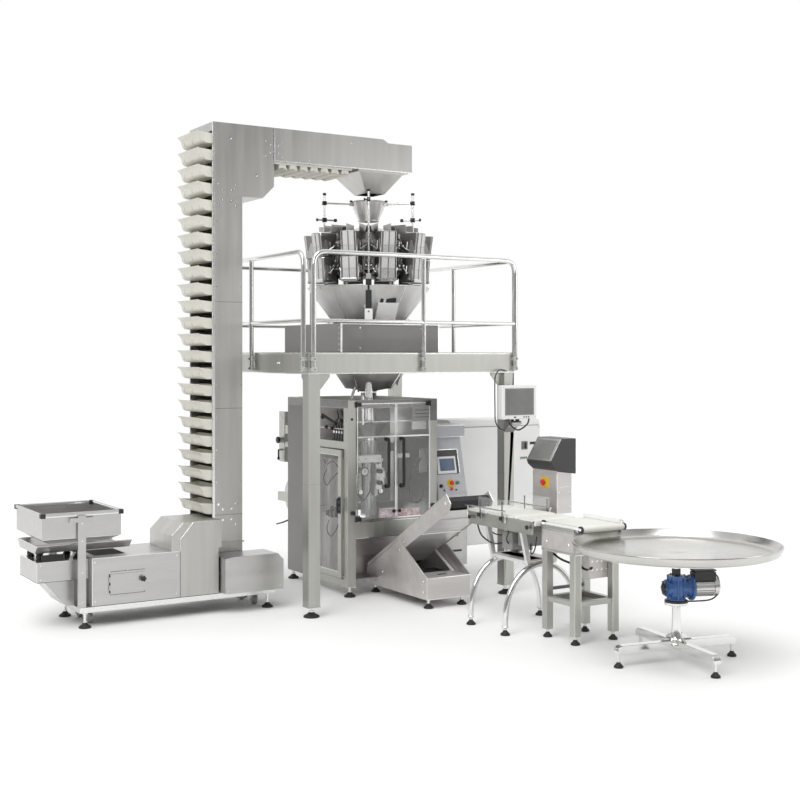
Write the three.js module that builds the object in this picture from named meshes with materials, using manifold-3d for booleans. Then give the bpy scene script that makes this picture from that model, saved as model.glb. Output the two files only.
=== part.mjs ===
// Vertical form, fill and seal packaging line: bucket elevator, multihead weigher on a work
// platform, bagging machine, take-off conveyor, checkweigher, transfer conveyor and rotary table.
// Millimetres, +Z up, +X along the elevator's arm, +Y towards the back of the machines.
import * as THREE from 'three';
import { mergeVertices } from 'three/addons/utils/BufferGeometryUtils.js';
import Module from 'manifold-3d';

const wasm = await Module();
wasm.setup();

// ---------------------------------------------------------------- driving dimensions
// The machines are laid out on a site grid. SITE is the grid's shift that puts the origin at the
// middle of the line's outer box, on the floor.
const SITE = { x: 605, y: 1482.5 };
const GAP = 0.5;
const AXIS = { x: -20, y: 10 };

const PLATFORM = { left: -1090, right: 860, front: -920, back: 980, top: 2030, beam: 160, post: 100 };
const RAIL = { top: 2810, mid: 2280, radius: 19, corner: 110, standOff: 24, foot: 1890 };
const ELEVATOR = {
  left: -1565, right: -1310, front: -190, back: 290, foot: 420, top: 3872, plate: 5,
  headRight: -1030, headFoot: 3290, chamfer: 100, armFoot: 3601, armEnd: 300, armStep: 30,
  stepStart: 240, stepEnd: 290, flange: 12,
};
const BUCKET = {
  pitch: 134, count: 23, first: 742, reach: 128, depth: 86, wall: 5, lip: 12, armCount: 7, armPitch: 98,
  chainInset: 68, chainWidth: 12, endGap: 14,
};
const HOUSING = { left: -2600, right: -1590, front: -362, back: 180, bottom: 155, top: 510 };
const HOPPER = { left: -2967, right: -2377, front: -362, back: 340, top: 862, wall: 4 };
const BAGGER = { left: -430, right: 454, front: -355, back: 760, top: 1640, post: 76, rail: 50, foot: 80 };
const CONSOLE = { left: 462, right: 758, front: -372, back: -105, bottom: 182, top: 1406 };
const CABINET = { left: 775, right: 1780, front: -90, back: 330, bottom: 290, top: 1430 };
const TAKEOFF = { left: -130, right: 270, rear: -150, front: -1110, top: 930, tip: -1440, plate: 4 };
const CHECK = { left: 0, right: 400, rear: -1490, front: -2290, beltTop: 835 };
const TRANSFER = { left: 60, right: 460, rear: -2326, front: -2690, top: 808, tube: 56 };
const DISC = { x: 345, y: -3380, radius: 680, rim: 782, floor: 725, shaftFoot: 612, drive: 485 };

// ---------------------------------------------------------------- shape helpers
// A closed geometry becomes a manifold solid: shared corners are merged, empty triangles dropped.
function solid(geometry) {
  const bare = geometry.clone();
  bare.deleteAttribute('normal');
  bare.deleteAttribute('uv');
  const merged = mergeVertices(bare, 1e-3);
  const index = merged.index.array;
  const triangles = [];
  for (let i = 0; i < index.length; i += 3) {
    const [a, b, c] = [index[i], index[i + 1], index[i + 2]];
    if (a !== b && b !== c && c !== a) triangles.push(a, b, c);
  }
  return new wasm.Manifold(new wasm.Mesh({
    numProp: 3,
    vertProperties: new Float32Array(merged.attributes.position.array),
    triVerts: new Uint32Array(triangles),
  }));
}

function join(...pieces) {
  return pieces.flat().reduce((whole, piece) => whole.add(piece));
}

function cut(body, ...tools) {
  return tools.flat().reduce((rest, tool) => rest.subtract(tool), body);
}

function boxGeometry(x0, x1, y0, y1, z0, z1) {
  const box = new THREE.BoxGeometry(x1 - x0, y1 - y0, z1 - z0);
  return box.translate((x0 + x1) / 2, (y0 + y1) / 2, (z0 + z1) / 2);
}

function block(x0, x1, y0, y1, z0, z1) {
  return solid(boxGeometry(x0, x1, y0, y1, z0, z1));
}

// An upright box on a radius: its long side points away from the middle of a ring.
function radialBlock(middle, angle, r0, r1, width, z0, z1) {
  const box = boxGeometry(r0, r1, -width / 2, width / 2, z0, z1);
  return solid(box.rotateZ(angle).translate(middle.x, middle.y, 0));
}

// An outline is drawn in one plane and pushed along the axis square to it.
const PLANES = {
  xz: [new THREE.Vector3(1, 0, 0), new THREE.Vector3(0, 0, 1), new THREE.Vector3(0, -1, 0)],
  yz: [new THREE.Vector3(0, 1, 0), new THREE.Vector3(0, 0, 1), new THREE.Vector3(1, 0, 0)],
};

function prismGeometry(plane, outline, from, to) {
  const shape = new THREE.Shape(outline.map(([a, b]) => new THREE.Vector2(a, b)));
  const geometry = new THREE.ExtrudeGeometry(shape, { depth: to - from, bevelEnabled: false });
  geometry.translate(0, 0, plane === 'xz' ? -to : from);
  return geometry.applyMatrix4(new THREE.Matrix4().makeBasis(...PLANES[plane]));
}

function prism(plane, outline, from, to) {
  return solid(prismGeometry(plane, outline, from, to));
}

function alongLine(geometry, from, to) {
  const start = new THREE.Vector3(...from);
  const run = new THREE.Vector3(...to).sub(start);
  const turn = new THREE.Quaternion().setFromUnitVectors(new THREE.Vector3(0, 1, 0), run.clone().normalize());
  return geometry.applyQuaternion(turn).translate(...start.add(run.multiplyScalar(0.5)));
}

function rod(from, to, radius, sides = 12, endRadius = radius) {
  const length = new THREE.Vector3(...from).distanceTo(new THREE.Vector3(...to));
  return solid(alongLine(new THREE.CylinderGeometry(endRadius, radius, length, sides), from, to));
}

function lathe(profile, sides, x, y, z) {
  const points = profile.map(([r, h]) => new THREE.Vector2(r, h));
  return solid(new THREE.LatheGeometry(points, sides).rotateX(Math.PI / 2).translate(x, y, z));
}

// A route of straight runs: a tube's section stands square to the mean of the two runs it joins.
class Route extends THREE.Curve {
  constructor(points) {
    super();
    this.points = points.map((p) => new THREE.Vector3(...p));
  }

  getPoint(t) {
    const place = t * (this.points.length - 1);
    const i = Math.min(Math.floor(place), this.points.length - 2);
    return this.points[i].clone().lerp(this.points[i + 1], place - i);
  }

  getPointAt(t) {
    return this.getPoint(t);
  }

  getTangentAt(t) {
    const i = Math.round(t * (this.points.length - 1));
    const before = this.points[Math.max(i - 1, 0)];
    const after = this.points[Math.min(i + 1, this.points.length - 1)];
    return after.clone().sub(before).normalize();
  }
}

// Each inner corner of a list of points is replaced by an arc of four steps.
function roundCorners(corners, reach) {
  const steps = 4;
  const points = corners.map((p) => new THREE.Vector3(...p));
  const route = [points[0]];
  for (let i = 1; i < points.length - 1; i += 1) {
    const into = points[i - 1].clone().sub(points[i]).setLength(reach).add(points[i]);
    const out = points[i + 1].clone().sub(points[i]).setLength(reach).add(points[i]);
    const bend = new THREE.QuadraticBezierCurve3(into, points[i], out);
    route.push(...bend.getPoints(steps));
  }
  route.push(points[points.length - 1]);
  return route.map((p) => p.toArray());
}

function tube(points, radius, sides = 8) {
  const section = new THREE.Shape();
  for (let i = 0; i < sides; i += 1) {
    const angle = (i + 0.5) * 2 * Math.PI / sides;
    const corner = [radius * Math.cos(angle), radius * Math.sin(angle)];
    if (i === 0) section.moveTo(...corner);
    else section.lineTo(...corner);
  }
  const settings = { steps: points.length - 1, bevelEnabled: false, extrudePath: new Route(points) };
  return solid(new THREE.ExtrudeGeometry(section, settings));
}

// A machine foot: threaded stem and a round pad that flares to the floor.
function levellingFoot(x, y, top, radius = 45) {
  const pad = 26;
  const stem = rod([x, y, pad - 2], [x, y, top + 5], 10, 6);
  return [stem, rod([x, y, 0], [x, y, pad], radius, 8, radius * 0.45)];
}

// ---------------------------------------------------------------- the scene graph
const line = new THREE.Group();
line.position.set(SITE.x, SITE.y, 0);

const FINISH = {
  steel: { color: 0xb9b7b2, roughness: 0.38, metalness: 1 },
  frame: { color: 0xb4b5a9, roughness: 0.5, metalness: 0.9 },
  polished: { color: 0xe2e1dc, roughness: 0.16, metalness: 1 },
  bucket: { color: 0xe6e3da, roughness: 0.45, metalness: 0 },
  belt: { color: 0xf2f1ec, roughness: 0.6, metalness: 0 },
  darkBelt: { color: 0x26262a, roughness: 0.7, metalness: 0 },
  black: { color: 0x1b1b1d, roughness: 0.5, metalness: 0 },
  clear: { color: 0xdfe8ea, roughness: 0.05, metalness: 0, transparent: true, opacity: 0.35 },
  white: { color: 0xeeedea, roughness: 0.5, metalness: 0.1 },
  blue: { color: 0x2d5f9e, roughness: 0.4, metalness: 0.3 },
  grey: { color: 0x8b8886, roughness: 0.5, metalness: 0.4 },
  red: { color: 0xc8231c, roughness: 0.35, metalness: 0 },
  green: { color: 0x1f8a4c, roughness: 0.35, metalness: 0 },
  film: { color: 0xe9ecee, roughness: 0.2, metalness: 0 },
};

function add(name, body, finish) {
  const raw = body.getMesh();
  const geometry = new THREE.BufferGeometry();
  geometry.setAttribute('position', new THREE.BufferAttribute(raw.vertProperties, 3));
  geometry.setIndex(new THREE.BufferAttribute(raw.triVerts, 1));
  geometry.computeVertexNormals();
  const mesh = new THREE.Mesh(geometry, new THREE.MeshStandardMaterial(FINISH[finish]));
  mesh.name = name;
  line.add(mesh);
}

// ---------------------------------------------------------------- bucket elevator
function elevatorCasing() {
  const e = ELEVATOR;
  const outline = [
    [e.left, e.foot], [e.right, e.foot], [e.right, e.headFoot], [e.headRight - e.chamfer, e.headFoot],
    [e.headRight, e.headFoot + e.chamfer], [e.headRight, e.armFoot], [e.armEnd, e.armFoot],
    [e.armEnd, e.top - e.armStep], [e.armEnd - e.stepStart, e.top - e.armStep],
    [e.armEnd - e.stepEnd, e.top], [e.left, e.top],
  ];
  const p = e.plate;
  const inside = [
    [e.left + p, e.foot - 50], [e.right - p, e.foot - 50], [e.right - p, e.headFoot + p],
    [e.headRight - e.chamfer - p, e.headFoot + p], [e.headRight - p, e.headFoot + e.chamfer + p],
    [e.headRight - p, e.armFoot + p], [e.armEnd - p, e.armFoot + p], [e.armEnd - p, e.top - e.armStep - p],
    [e.armEnd - e.stepStart - p, e.top - e.armStep - p], [e.armEnd - e.stepEnd - p, e.top - p],
    [e.left + p, e.top - p],
  ];
  const bucketSide = block(e.left - 50, e.left + 60, e.front + p, e.back - p, HOUSING.top + 130, e.top - 70);
  const returnRun = block(e.headRight + 30, -290, e.front + p, e.back - p, e.armFoot - 60, e.armFoot + 60);
  const outlet = block(-200, 190, e.front + 20, e.back - 20, e.armFoot - 60, e.armFoot + 60);
  const shell = cut(
    prism('xz', outline, e.front, e.back),
    prism('xz', inside, e.front + p, e.back - p),
    bucketSide, returnRun, outlet,
  );
  const [flangeFoot, flangeTop] = [e.foot + 96, e.foot + 106];
  const f = e.flange;
  const flange = cut(
    block(e.left - f, e.right + f, e.front - f, e.back + f, flangeFoot, flangeTop),
    block(e.left + p, e.right - p, e.front + p, e.back - p, 0, e.top),
  );
  return join(shell, flange, chainGuard());
}

// The chain of buckets: cups with a pointed lip climb the open side of the casing, and the
// returning ones hang mouth down below the arm. Two chains, one at each end, join them all.
function bucketChain() {
  const e = ELEVATOR;
  const { reach, depth, wall, pitch, count, first, lip, chainWidth, endGap } = BUCKET;
  const [y0, y1] = [e.front + e.plate + endGap, e.back - e.plate - endGap];
  const chainX = e.left + BUCKET.chainInset;
  const chainTop = first + count * pitch - 20;
  const rising = [[chainX + chainWidth, first], [chainX + chainWidth, chainTop], [chainX, chainTop]];
  const cups = [];
  for (let i = count - 1; i >= 0; i -= 1) {
    const z = first + i * pitch;
    rising.push([chainX, z + depth], [chainX - reach - lip, z + depth + 8]);
    rising.push([chainX - reach + 26, z + 6], [chainX - reach + 44, z]);
    if (i > 0) rising.push([chainX, z]);
    cups.push(prism('xz', [
      [chainX - wall, z + wall], [chainX - wall, z + depth + 20], [chainX - reach - lip + wall, z + depth + 20],
      [chainX - reach + 26 + wall, z + 6 + wall],
    ], y0 + wall, y1 - wall));
  }
  const climb = cut(prism('xz', rising, y0, y1), cups);
  const z = e.armFoot + 26;
  const start = e.headRight + 60;
  const hanging = [];
  for (let i = 0; i < BUCKET.armCount; i += 1) {
    const x = start + i * BUCKET.armPitch;
    const outer = [[x, z + 2], [x + 74, z + 2], [x + 84, z - 84], [x + 8, z - 60]];
    const inner = [[x + 6, z - 6], [x + 68, z - 6], [x + 80, z - 130], [x + 13, z - 130]];
    hanging.push(cut(prism('xz', outer, y0, y1), prism('xz', inner, y0 + wall, y1 - wall)));
  }
  const run = start + BUCKET.armCount * BUCKET.armPitch - 10;
  const chains = [y0, y1 - 24].map((y) => block(chainX + 2, run, y, y + 24, z, z + 12));
  return join(climb, hanging, chains);
}

function elevatorHousing() {
  const h = HOUSING;
  const p = 6;
  const e = ELEVATOR;
  const body = block(h.left, h.right, h.front, h.back, h.bottom, h.top);
  const hollow = block(h.left + p, h.right - p, h.front + p, h.back - p, h.bottom - 20, h.top - p);
  const bootTop = e.foot - GAP;
  const boot = cut(
    block(h.right - 30, e.right + 12, e.front - 12, e.back + 12, h.bottom, bootTop),
    block(h.right - 40, e.right + 6, e.front - 6, e.back + 6, h.bottom - 20, bootTop - p),
    block(e.left + p, e.right - p, e.front + p, e.back - p, bootTop - 20, bootTop + 20),
  );
  const bootWay = block(h.right - 40, h.right + 10, e.front - 6, h.back - p, h.bottom - 20, bootTop - p);
  const doorway = block(-2462, -2191, h.front - 10, h.front + 20, 248, 376);
  const mouth = block(h.left + 60, h.left + 300, -240, 60, h.top - 20, h.top + 20);
  const runners = [h.front + 4, h.back - 44].map((y) => block(-2690, -1100, y, y + 40, 110, h.bottom + 2));
  const ties = [-2690, -2080, -1140].map((x) => block(x, x + 40, h.front + 4, h.back - 4, 110, 150));
  const feet = [[-2645, h.front + 24], [-1160, h.front + 24], [-2645, h.back - 24], [-1160, h.back - 24]];
  const casters = [];
  for (const [x, y] of [[-2560, -180], [-2560, 60], [-1205, -180], [-1205, 60]]) {
    casters.push(rod([x - 15, y, 40], [x + 15, y, 40], 38, 10));
    for (const side of [x - 26, x + 14]) casters.push(block(side, side + 12, y - 16, y + 16, 30, 112));
  }
  const bearers = [-2560, -1205].map((x) => block(x - 30, x + 30, h.front + 6, h.back - 6, 110, 130));
  return join(
    cut(join(cut(body, hollow, doorway, mouth), boot), bootWay), runners, ties,
    feet.flatMap(([x, y]) => levellingFoot(x, y, 112)), bearers, casters, vibratorDrive(),
  );
}

function elevatorDoor() {
  const y = HOUSING.front;
  const panel = block(-2468, -2185, y - 5, y - GAP, 242, 382);
  const [knobX, knobZ, pinX] = [-2212, 330, -2468];
  const stem = rod([knobX, y - 4, knobZ], [knobX, y - 18, knobZ], 6, 10);
  const knob = rod([knobX, y - 16, knobZ], [knobX, y - 36, knobZ], 15, 12);
  const knuckles = [262, 322].map((z) => rod([pinX, y - 9, z], [pinX, y - 9, z + 38], 6, 8));
  return join(panel, stem, knob, knuckles);
}

function driveBox() {
  const [x0, x1, y0, y1, z0, z1] = [-1580, -1080, -470, -205, 160, 445];
  const outline = [[x0, z0], [x1, z0], [x1, z1 - 50], [x1 - 50, z1], [x0 + 60, z1], [x0, z1 - 12]];
  const motor = [rod([-1205, y1 - 3, 300], [-1205, y1 + 190, 300], 75, 16)];
  return join(prism('xz', outline, y0, y1), motor);
}

function chainGuard() {
  const [y0, y1] = [HOUSING.front + 2, 120];
  const z = HOUSING.top + GAP;
  const height = 215;
  const end = ELEVATOR.left + 2;
  const outline = [[-1975, z], [-1975, z + 120], [-1880, z + height], [end, z + height], [end, z]];
  const hollow = [
    [-1969, z - 10], [-1969, z + 118], [-1877, z + height - 6], [end + 38, z + height - 6],
    [end + 38, z - 10],
  ];
  const tower = cut(prism('xz', outline, y0, y1), prism('xz', hollow, y0 + 5, y1 - 5));
  const { left: x0, right: x1, front, back } = ELEVATOR;
  return cut(tower, block(x0, x1, front + 1, back - 1, z - 20, z + height + 85));
}

function infeedHopper() {
  const h = HOPPER;
  const w = h.wall;
  const [cx0, cx1, cy0, cy1] = [h.left + 70, h.right - 70, h.front + 90, h.back - 90];
  const stages = [
    [h.top, h.left, h.right, h.front, h.back],
    [h.top - 190, h.left, h.right, h.front, h.back],
    [630, cx0, cx1, cy0, cy1],
  ];
  const shell = (inset, extra) => {
    const shrink = ([z, a, b, c, d]) => [z, a + inset, b - inset, c + inset, d - inset];
    const [top, waist, low] = stages.map(shrink);
    const upper = block(top[1], top[2], top[3], top[4], waist[0], top[0] + extra);
    return join(upper, frustum(waist, low, extra));
  };
  const rim = cut(
    block(h.left - 14, h.right + 14, h.front - 14, h.back + 14, h.top - 22, h.top),
    block(h.left + w, h.right - w, h.front + w, h.back - w, h.top - 60, h.top + 20),
  );
  const x = -2712;
  const postWidth = 60;
  const [postFoot, postTop] = [HOUSING.bottom + 4, h.top - 24];
  const posts = [h.front - 30, h.back + 12].map((y) => block(x, x + postWidth, y, y + 18, postFoot, postTop));
  const [armFoot, armTop, half] = [h.top - 74, h.top - 40, 60];
  const arms = [h.front - 30, h.back - 6].map((y) => block(x - half, x + postWidth + half, y, y + 36, armFoot, armTop));
  return join(cut(shell(0, 0), shell(w, 30)), rim, posts, arms);
}

// Four sloping sides between two level rectangles [z, x0, x1, y0, y1].
function frustum(high, low, extra = 0) {
  const [zh, a, b, c, d] = high;
  const [zl, e, f, g, h] = low;
  const geometry = boxGeometry(0, 1, 0, 1, 0, 1);
  const place = geometry.attributes.position;
  const reach = extra / (zh - zl);
  for (let i = 0; i < place.count; i += 1) {
    const [right, back, up] = [place.getX(i) > 0.5, place.getY(i) > 0.5, place.getZ(i) > 0.5];
    const [xLow, xHigh] = right ? [f, b] : [e, a];
    const [yLow, yHigh] = back ? [h, d] : [g, c];
    if (up) place.setXYZ(i, xHigh, yHigh, zh);
    else place.setXYZ(i, xLow + (xLow - xHigh) * reach, yLow + (yLow - yHigh) * reach, zl - extra);
  }
  return solid(geometry);
}

function vibratoryTray() {
  const [x0, x1, y0, y1] = [-2990, -2270, -300, 220];
  const profile = [[y0, 618], [y0 + 60, 560], [y1 - 60, 560], [y1, 618]];
  const hollow = [[y0 + 6, 640], [y0 + 66, 566], [y1 - 66, 566], [y1 - 6, 640]];
  const trough = cut(prism('yz', profile, x0, x1), prism('yz', hollow, x0 + 6, x1 + 20));
  return trough;
}

function vibratorDrive() {
  const [x0, x1, y0, y1] = [-2985, HOUSING.left + 2, -290, 170];
  const body = block(x0, x1, y0, y1, 351, 500);
  const springs = [];
  for (const x of [x0 + 50, x1 - 60]) {
    for (const y of [y0 + 110, y1 - 110]) springs.push(rod([x, y, 498], [x, y, 560 - GAP], 22, 8));
  }
  const wedge = prism('xz', [[-2925, 355], [-2599, 355], [-2599, 158], [-2760, 158]], y0 + 40, y1 - 40);
  return join(body, springs, wedge);
}

function dischargeFunnel() {
  const top = ELEVATOR.armFoot - GAP;
  const [x0, x1, y0, y1] = [-220, 213, -185, 260];
  const [n0, n1, m0, m1] = [-95, 92, -70, 130];
  const high = [top - 18, x0, x1, y0, y1];
  const low = [3416, n0, n1, m0, m1];
  const w = 5;
  const inHigh = [high[0], x0 + w, x1 - w, y0 + w, y1 - w];
  const inLow = [low[0], n0 + w, n1 - w, m0 + w, m1 - w];
  const flange = block(x0 - 14, x1 + 14, y0, y1 + 14, top - 18, top);
  const throat = block(x0 + w, x1 - w, y0 + w, y1 - w, top - 18, top + 10);
  return cut(join(frustum(high, low), flange), frustum(inHigh, inLow, 30), throat);
}

// ---------------------------------------------------------------- multihead weigher
const HEADS = 10;
// The struts' plane stands in two opposite gaps between heads.
const STRUT_ANGLE = -2.097;
const headAngle = (i) => STRUT_ANGLE + (i + 0.5) * 2 * Math.PI / HEADS;

function weigherBase() {
  const [x0, x1, y0, y1, z0, z1] = [-560, 400, -470, 560, PLATFORM.top + 8, 2277];
  const half = 330;
  return cut(
    block(x0, x1, y0, y1, z0, z1),
    block(AXIS.x - half, AXIS.x + half, AXIS.y - half, AXIS.y + half, z0 - 10, z1 + 10),
  );
}

// The drum stands on two struts that pass through the slots between the chutes, and carries the
// radial feeder pans on its top.
function weigherBody() {
  const drum = rod([AXIS.x, AXIS.y, 2690], [AXIS.x, AXIS.y, 3062], 250, HEADS * 2);
  const arms = [];
  const pans = [];
  for (let i = 0; i < HEADS; i += 1) {
    arms.push(radialBlock(AXIS, headAngle(i) + Math.PI / HEADS, 240, 374, 60, 2720, 2991));
    const trough = radialBlock(AXIS, headAngle(i), 235, 430, 118, 3056, 3120);
    pans.push(cut(trough, radialBlock(AXIS, headAngle(i), 225, 440, 110, 3062, 3140)));
  }
  const struts = [0, Math.PI].flatMap((half) => [
    radialBlock(AXIS, STRUT_ANGLE + half, 190, 500, 44, 2652, 2696),
    radialBlock(AXIS, STRUT_ANGLE + half, 456, 500, 44, 2290, 2660),
    radialBlock(AXIS, STRUT_ANGLE + half, 446, 510, 60, 2277 + GAP, 2400),
  ]);
  return join(drum, arms, pans, struts);
}

function distributionCone() {
  return join(
    rod([AXIS.x, AXIS.y, 3062 + GAP], [AXIS.x, AXIS.y, 3085], 60, 12),
    rod([AXIS.x, AXIS.y, 3080], [AXIS.x, AXIS.y, 3150], 215, 20, 20),
  );
}

// A hopper is a chute on a radius with open top and bottom, its outer face leaning outwards.
function hopper(angle, r0, r1, width, z0, z1, lean) {
  const wall = 4;
  const shape = (inset, over) => {
    const half = width / 2 - inset;
    const geometry = boxGeometry(r0 + inset, r1 - inset, -half, half, z0 - over, z1 + over);
    const place = geometry.attributes.position;
    for (let i = 0; i < place.count; i += 1) {
      const climb = (place.getZ(i) - z0) / (z1 - z0);
      if (place.getX(i) > (r0 + r1) / 2) place.setX(i, place.getX(i) + lean * climb);
    }
    return solid(geometry.rotateZ(angle).translate(AXIS.x, AXIS.y, 0));
  };
  return cut(shape(0, 0), shape(wall, 10));
}

// A band with one flat for each head, square to its radius.
function headBand(apothem, inner, z0, z1) {
  const corner = headAngle(0) - Math.PI / HEADS - Math.PI / 2;
  const prismOf = (flat, over) => solid(new THREE.CylinderGeometry(1, 1, z1 - z0 + 2 * over, HEADS)
    .scale(flat / Math.cos(Math.PI / HEADS), 1, flat / Math.cos(Math.PI / HEADS))
    .rotateX(Math.PI / 2).rotateZ(corner).translate(AXIS.x, AXIS.y, (z0 + z1) / 2));
  return cut(prismOf(apothem, 0), prismOf(inner, 5));
}

// Each head has a feed hopper above a weigh hopper, both fixed to one band round the drum.
function hopperBank() {
  const pieces = [headBand(387, 378, 2700, 2990)];
  for (let i = 0; i < HEADS; i += 1) {
    const angle = headAngle(i);
    pieces.push(hopper(angle, 385, 532, 128, 2845, 3048, 24), hopper(angle, 385, 515, 146, 2640, 2838, 14));
  }
  return join(pieces);
}

// The gate closes the mouth of its weigh hopper and swings down about a pin on the outer edge.
const GATE = { top: 2637, pin: 521, inner: 384, width: 138, lip: 16 };
function weighGate(i) {
  const angle = headAngle(i);
  const { top, pin, inner, width, lip } = GATE;
  return join(
    radialBlock(AXIS, angle, inner, pin + 6, width, top - 5, top),
    radialBlock(AXIS, angle, pin, pin + 6, width, top - 5, top + lip),
  );
}

// Two half funnels stand either side of the struts and meet in a ring at their foot.
function collatingChutes() {
  const corner = headAngle(0) - Math.PI / 2;
  const cone = (low, high, foot, top) => solid(new THREE.CylinderGeometry(high, low, top - foot, HEADS)
    .rotateX(Math.PI / 2).rotateZ(corner).translate(AXIS.x, AXIS.y, (foot + top) / 2));
  const slot = radialBlock(AXIS, STRUT_ANGLE, -700, 700, 80, 2330, 2700);
  return cut(cone(300, 535, 2284, 2600), cone(291, 529, 2280, 2604), slot);
}

// Four posts in gaps between the heads carry the feed cone on level rods, and the two at the
// sides carry level sensors.
const STAND = {
  reach: 400, foot: 2991 + GAP, top: 3400, level: 3325, sensorZ: 3180, gaps: [0, 2, 5, 8], sensors: [2, 8],
};
function feedStand() {
  const { reach, foot, top, level, sensorZ, gaps, sensors } = STAND;
  const cone = cut(
    rod([AXIS.x, AXIS.y, 3182], [AXIS.x, AXIS.y, 3350], 84, 16, 154),
    rod([AXIS.x, AXIS.y, 3178], [AXIS.x, AXIS.y, 3354], 76, 16, 150),
  );
  const pieces = [cone];
  for (const gap of gaps) {
    const angle = STRUT_ANGLE + gap * 2 * Math.PI / HEADS;
    const out = (r, z) => [AXIS.x + r * Math.cos(angle), AXIS.y + r * Math.sin(angle), z];
    pieces.push(radialBlock(AXIS, angle, 290, reach + 14, 44, foot, foot + 10));
    pieces.push(rod(out(reach, foot + 5), out(reach, top), 9, 6));
    pieces.push(rod(out(reach, top - 6), out(reach, top + 14), 15, 6));
    pieces.push(rod(out(137, level), out(reach, level), 7, 6));
    if (sensors.includes(gap)) {
      pieces.push(rod(out(reach - 90, sensorZ), out(reach + 70, sensorZ), 7, 6));
      pieces.push(rod(out(reach - 104, sensorZ), out(reach - 84, sensorZ), 14, 8));
      pieces.push(radialBlock(AXIS, angle, reach - 16, reach + 16, 28, sensorZ - 16, sensorZ + 16));
    }
  }
  return join(pieces);
}

// ---------------------------------------------------------------- work platform
// A plate in the corner below a beam, in the plane given, reaching from start towards way.
function gusset(plane, start, way, across) {
  const z = PLATFORM.top - PLATFORM.beam;
  const [run, drop, half] = [110, 150, 6];
  const end = start + way * run;
  const outline = [[start, z + 4], [end, z + 4], [end, z - 20], [start, z - drop]];
  return prism(plane, outline, across - half, across + half);
}

function platformFrame() {
  const p = PLATFORM;
  const low = p.top - p.beam;
  const beam = 70;
  const legs = [];
  for (const x of [p.left + p.post / 2, p.right - p.post / 2]) {
    for (const y of [p.front + p.post / 2, p.back - p.post / 2]) {
      const half = p.post / 2;
      legs.push(block(x - half, x + half, y - half, y + half, 78, low + 2));
      legs.push(...levellingFoot(x, y, 80, 62));
      const [dx, dy] = [-Math.sign(x), -Math.sign(y)];
      legs.push(gusset('xz', x + dx * (half - 3), dx, y), gusset('yz', y + dy * (half - 3), dy, x));
    }
  }
  const rim = cut(
    block(p.left, p.right, p.front, p.back, low, p.top),
    block(p.left + beam, p.right - beam, p.front + beam, p.back - beam, low - 5, p.top + 5),
  );
  const joists = [-400, 400].map((y) => block(p.left + 60, p.right - 60, y - 25, y + 25, low + 40, p.top));
  return join(rim, legs, joists, displayBracket());
}

function deckPlate() {
  const p = PLATFORM;
  const half = 332;
  return cut(
    block(p.left, p.right, p.front, p.back, p.top + GAP, p.top + 7),
    block(AXIS.x - half, AXIS.x + half, AXIS.y - half, AXIS.y + half, p.top - 10, p.top + 20),
  );
}

// A rail panel: one bent top tube whose ends run down as posts, further posts, a mid rail, and two
// clips at each post that reach the face of the beam. A route has two or three corners in plan.
function handrail(route, posts) {
  const corners = route.map(([x, y]) => [x, y, RAIL.top]);
  const [first, last] = [corners[0], corners[corners.length - 1]];
  const loop = [[first[0], first[1], RAIL.foot], ...corners, [last[0], last[1], RAIL.foot]];
  const pieces = [tube(roundCorners(loop, RAIL.corner), RAIL.radius, 6)];
  const middle = route.map(([x, y]) => [x, y, RAIL.mid]);
  pieces.push(tube(route.length > 2 ? roundCorners(middle, RAIL.corner) : middle, RAIL.radius * 0.8, 6));
  for (const [x, y, dx, dy, isEnd] of posts) {
    if (!isEnd) pieces.push(rod([x, y, RAIL.foot], [x, y, RAIL.top], RAIL.radius * 0.95, 6));
    const reach = RAIL.standOff + 1;
    const [x0, x1] = dx ? [Math.min(x, x + dx * reach), Math.max(x, x + dx * reach)] : [x - 22, x + 22];
    const [y0, y1] = dy ? [Math.min(y, y + dy * reach), Math.max(y, y + dy * reach)] : [y - 22, y + 22];
    for (const z of [1905, 1985]) pieces.push(block(x0, x1, y0, y1, z - 12, z + 12));
  }
  return join(pieces);
}

// Three panels stand just outside the deck's front, left, and right and rear edges. Each post is
// [x, y, way to the beam in x, way in y, whether the top tube's end runs down as this post].
function railPanels() {
  const { left, right, front, back } = PLATFORM;
  const off = RAIL.standOff + 1 + GAP;
  const [x0, x1, y0, y1] = [left - off, right + off, front - off, back + off];
  const middle = -62;
  return {
    front: {
      route: [[left + 30, y0], [right - 5, y0]],
      posts: [[left + 30, y0, 0, 1, true], [middle, y0, 0, 1, false], [right - 5, y0, 0, 1, true]],
    },
    left: {
      route: [[x0, front + 40], [x0, 560]],
      posts: [[x0, front + 40, 1, 0, true], [x0, 60, 1, 0, false], [x0, 560, 1, 0, true]],
    },
    right_rear: {
      route: [[x1, front + 30], [x1, y1], [left + 30, y1]],
      posts: [
        [x1, front + 30, -1, 0, true], [x1, 30, -1, 0, false], [right - 90, y1, 0, -1, false],
        [middle, y1, 0, -1, false], [left + 30, y1, 0, -1, true],
      ],
    },
  };
}

// The weigher's screen turns on a stub over a bracket that is fixed to the front right leg.
const DISPLAY = { x: PLATFORM.right - 22, y: PLATFORM.front - 78, foot: 1452 };
function weigherDisplay() {
  const { x, y, foot } = DISPLAY;
  return join(
    block(x - 182, x + 182, y - 32, y + 32, foot + 26, foot + 313),
    rod([x, y, foot + GAP], [x, y, foot + 30], 16, 10),
    rod([x, y, foot + GAP], [x, y, foot + 10], 34, 12),
  );
}

function displayBracket() {
  const { x, y, foot } = DISPLAY;
  const leg = PLATFORM.front + 10;
  const outline = [[leg, foot - 90], [leg, foot], [y - 40, foot], [y - 40, foot - 12], [y + 10, foot - 26]];
  return prism('yz', outline, x - 80, x + 20);
}

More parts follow.
